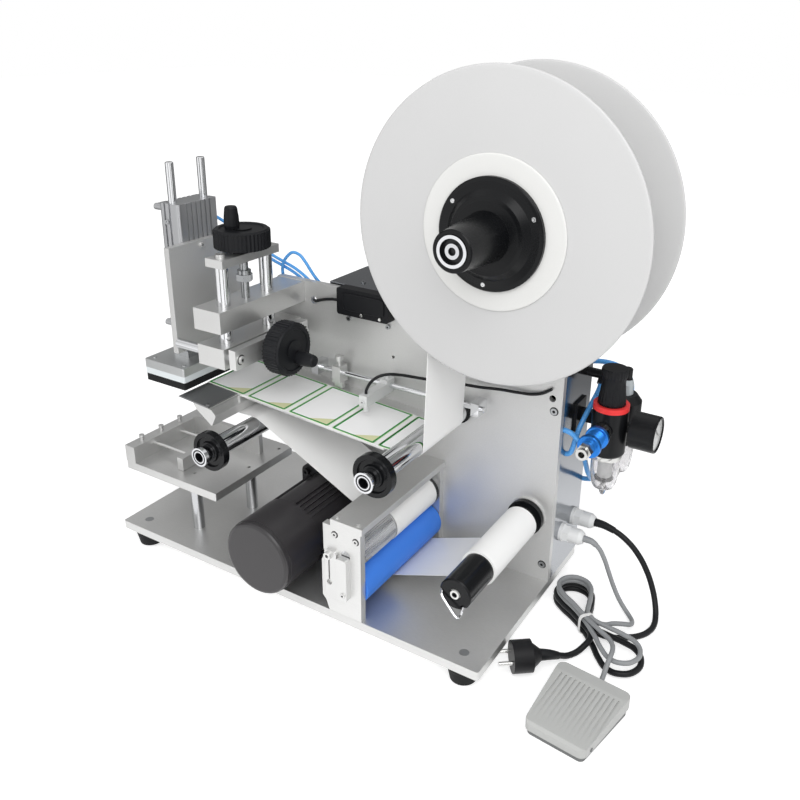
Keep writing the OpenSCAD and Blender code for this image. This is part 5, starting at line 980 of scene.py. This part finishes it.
def room_side(tree, direction):
    """what polished metal sees of the room, by the direction it looks in: 1 in front of the machine, falling
    smoothly to BACK_SHADE behind it, as the direction's part away from the camera goes from -0.30 to 0.15;
    FLAG_SHADE of that where its part to the right is within a flag's half width of the flag"""
    away = put(tree, "VectorMath", {0: direction, 1: AWAY}, operation="DOT_PRODUCT").outputs["Value"]
    seen = put(tree, "MapRange", {0: away, 1: -0.30, 2: 0.15, 3: 1.0, 4: BACK_SHADE},
               interpolation_type="SMOOTHSTEP")
    sideways = put(tree, "VectorMath", {0: direction, 1: TO_RIGHT}, operation="DOT_PRODUCT").outputs["Value"]
    for centre, half in FLAGS:
        off = put(tree, "Math", {0: sideways, 1: centre}, operation="SUBTRACT")
        off = put(tree, "Math", {0: off}, operation="ABSOLUTE")
        flag = put(tree, "MapRange", {0: off, 1: half, 2: half + FLAG_EDGE, 3: FLAG_SHADE, 4: 1.0})
        seen = put(tree, "Math", {0: seen, 1: flag}, operation="MULTIPLY")
    return seen.outputs[0]


# floor: white to the camera, glossy and see-through rays, but from NEAR to FAR metres off glossy rays come to
# see the room instead
NEAR, FAR = 0.40, 0.80
FLOOR_GLOW = 0.55
HALF_FLOOR = 8
floor_mat = bpy.data.materials.new("white_floor")
floor_mat.use_nodes = True
tree = floor_mat.node_tree
tree.nodes.clear()
rays = put(tree, "LightPath")
where = put(tree, "TexCoord").outputs["Object"]
far = put(tree, "VectorMath", {0: where}, operation="LENGTH").outputs["Value"]
away = put(tree, "MapRange", {0: far, 1: NEAR, 2: FAR})
glossy = put(tree, "Math", {0: away, 1: rays.outputs["Is Glossy Ray"]}, operation="MULTIPLY")
outward = put(tree, "VectorMath", {0: where}, operation="NORMALIZE").outputs[0]
shown = put(tree, "Mix", {0: glossy, 6: (1, 1, 1, 1), 7: room_side(tree, outward)}, data_type="RGBA")
shown = shown.outputs[2]
pale = put(tree, "Mix", {0: 1.0, 6: linear("#e4e4e4"), 7: shown}, data_type="RGBA", blend_type="MULTIPLY")
matt = put(tree, "BsdfDiffuse", {"Color": pale.outputs[2]})
camera_ray, glossy_ray, clear_ray = (rays.outputs[f"Is {kind} Ray"]
                                     for kind in ("Camera", "Glossy", "Transmission"))
seen = put(tree, "Math", {0: camera_ray, 1: glossy_ray}, operation="MAXIMUM")
seen = put(tree, "Math", {0: seen, 1: clear_ray}, operation="MAXIMUM")
glow = put(tree, "Math", {0: seen, 1: FLOOR_GLOW}, operation="MULTIPLY")
glow = put(tree, "Emission", {"Color": shown, "Strength": glow})
put(tree, "OutputMaterial", {0: put(tree, "AddShader", {0: matt, 1: glow})})
z = float(CORNER[2] + FLOOR / 1000)
corners = [(-HALF_FLOOR, -HALF_FLOOR, z), (HALF_FLOOR, -HALF_FLOOR, z), (HALF_FLOOR, HALF_FLOOR, z),
           (-HALF_FLOOR, HALF_FLOOR, z)]
floor_mesh = bpy.data.meshes.new("floor")
floor_mesh.from_pydata(corners, [], [(0, 1, 2, 3)])
add("floor", floor_mesh, floor_mat)

# world: brighter from the front; glossy rays see the room, and above it a soft ceiling
FRONT = (0.35, -0.93, 0.10)
DIMMEST, BRIGHTEST = 0.54, 1.60
CEILING = 0.9
world = bpy.data.worlds.new("studio")
bpy.context.scene.world = world
world.use_nodes = True
tree = world.node_tree
tree.nodes.clear()
rays = put(tree, "LightPath")
way = put(tree, "TexCoord").outputs["Generated"]
up = put(tree, "SeparateXYZ", {0: way}).outputs[2]
front = put(tree, "VectorMath", {0: way, 1: FRONT}, operation="DOT_PRODUCT").outputs["Value"]
soft = put(tree, "MapRange", {0: front, 1: 0.0, 2: 1.0, 3: DIMMEST, 4: BRIGHTEST})
above = put(tree, "MapRange", {0: up, 1: 0.45, 2: 0.7, 3: 0.0, 4: 1.0})
glint = put(tree, "Mix", {0: above, 2: room_side(tree, way), 3: CEILING}, data_type="FLOAT")
sky = put(tree, "Mix", {0: rays.outputs["Is Glossy Ray"], 2: soft, 3: glint}, data_type="FLOAT")
sky = put(tree, "CombineXYZ", {0: sky, 1: sky, 2: sky})
behind = put(tree, "Mix", {0: rays.outputs["Is Camera Ray"], 6: sky, 7: (1, 1, 1, 1)}, data_type="RGBA")
ground = put(tree, "Background", {"Color": behind.outputs[2], "Strength": 1.0})
put(tree, "OutputWorld", {0: ground})

# lamp: a square softbox that looks along AIM, AIM_FROM metres back from a place above the machine
SOFTBOX_SIDE, SOFTBOX_WATTS = 0.8, 5
AIM, AIM_AT, AIM_FROM = np.array([-0.42, 0.66, -0.62]), np.array([0.1, 0, 0.40]), 1.1
lamp = bpy.data.lights.new("softbox", "AREA")
lamp.shape = "RECTANGLE"
lamp.size = lamp.size_y = SOFTBOX_SIDE
lamp.energy = SOFTBOX_WATTS
to_lamp = -AIM / np.linalg.norm(AIM)
side_x = np.cross([0, 0, 1.0], to_lamp)
side_x /= np.linalg.norm(side_x)
softbox = add("softbox", lamp)
softbox.matrix_world = placed(side_x, np.cross(to_lamp, side_x), to_lamp, to_lamp * AIM_FROM + AIM_AT)

bpy.context.scene.view_settings.view_transform = "Standard"
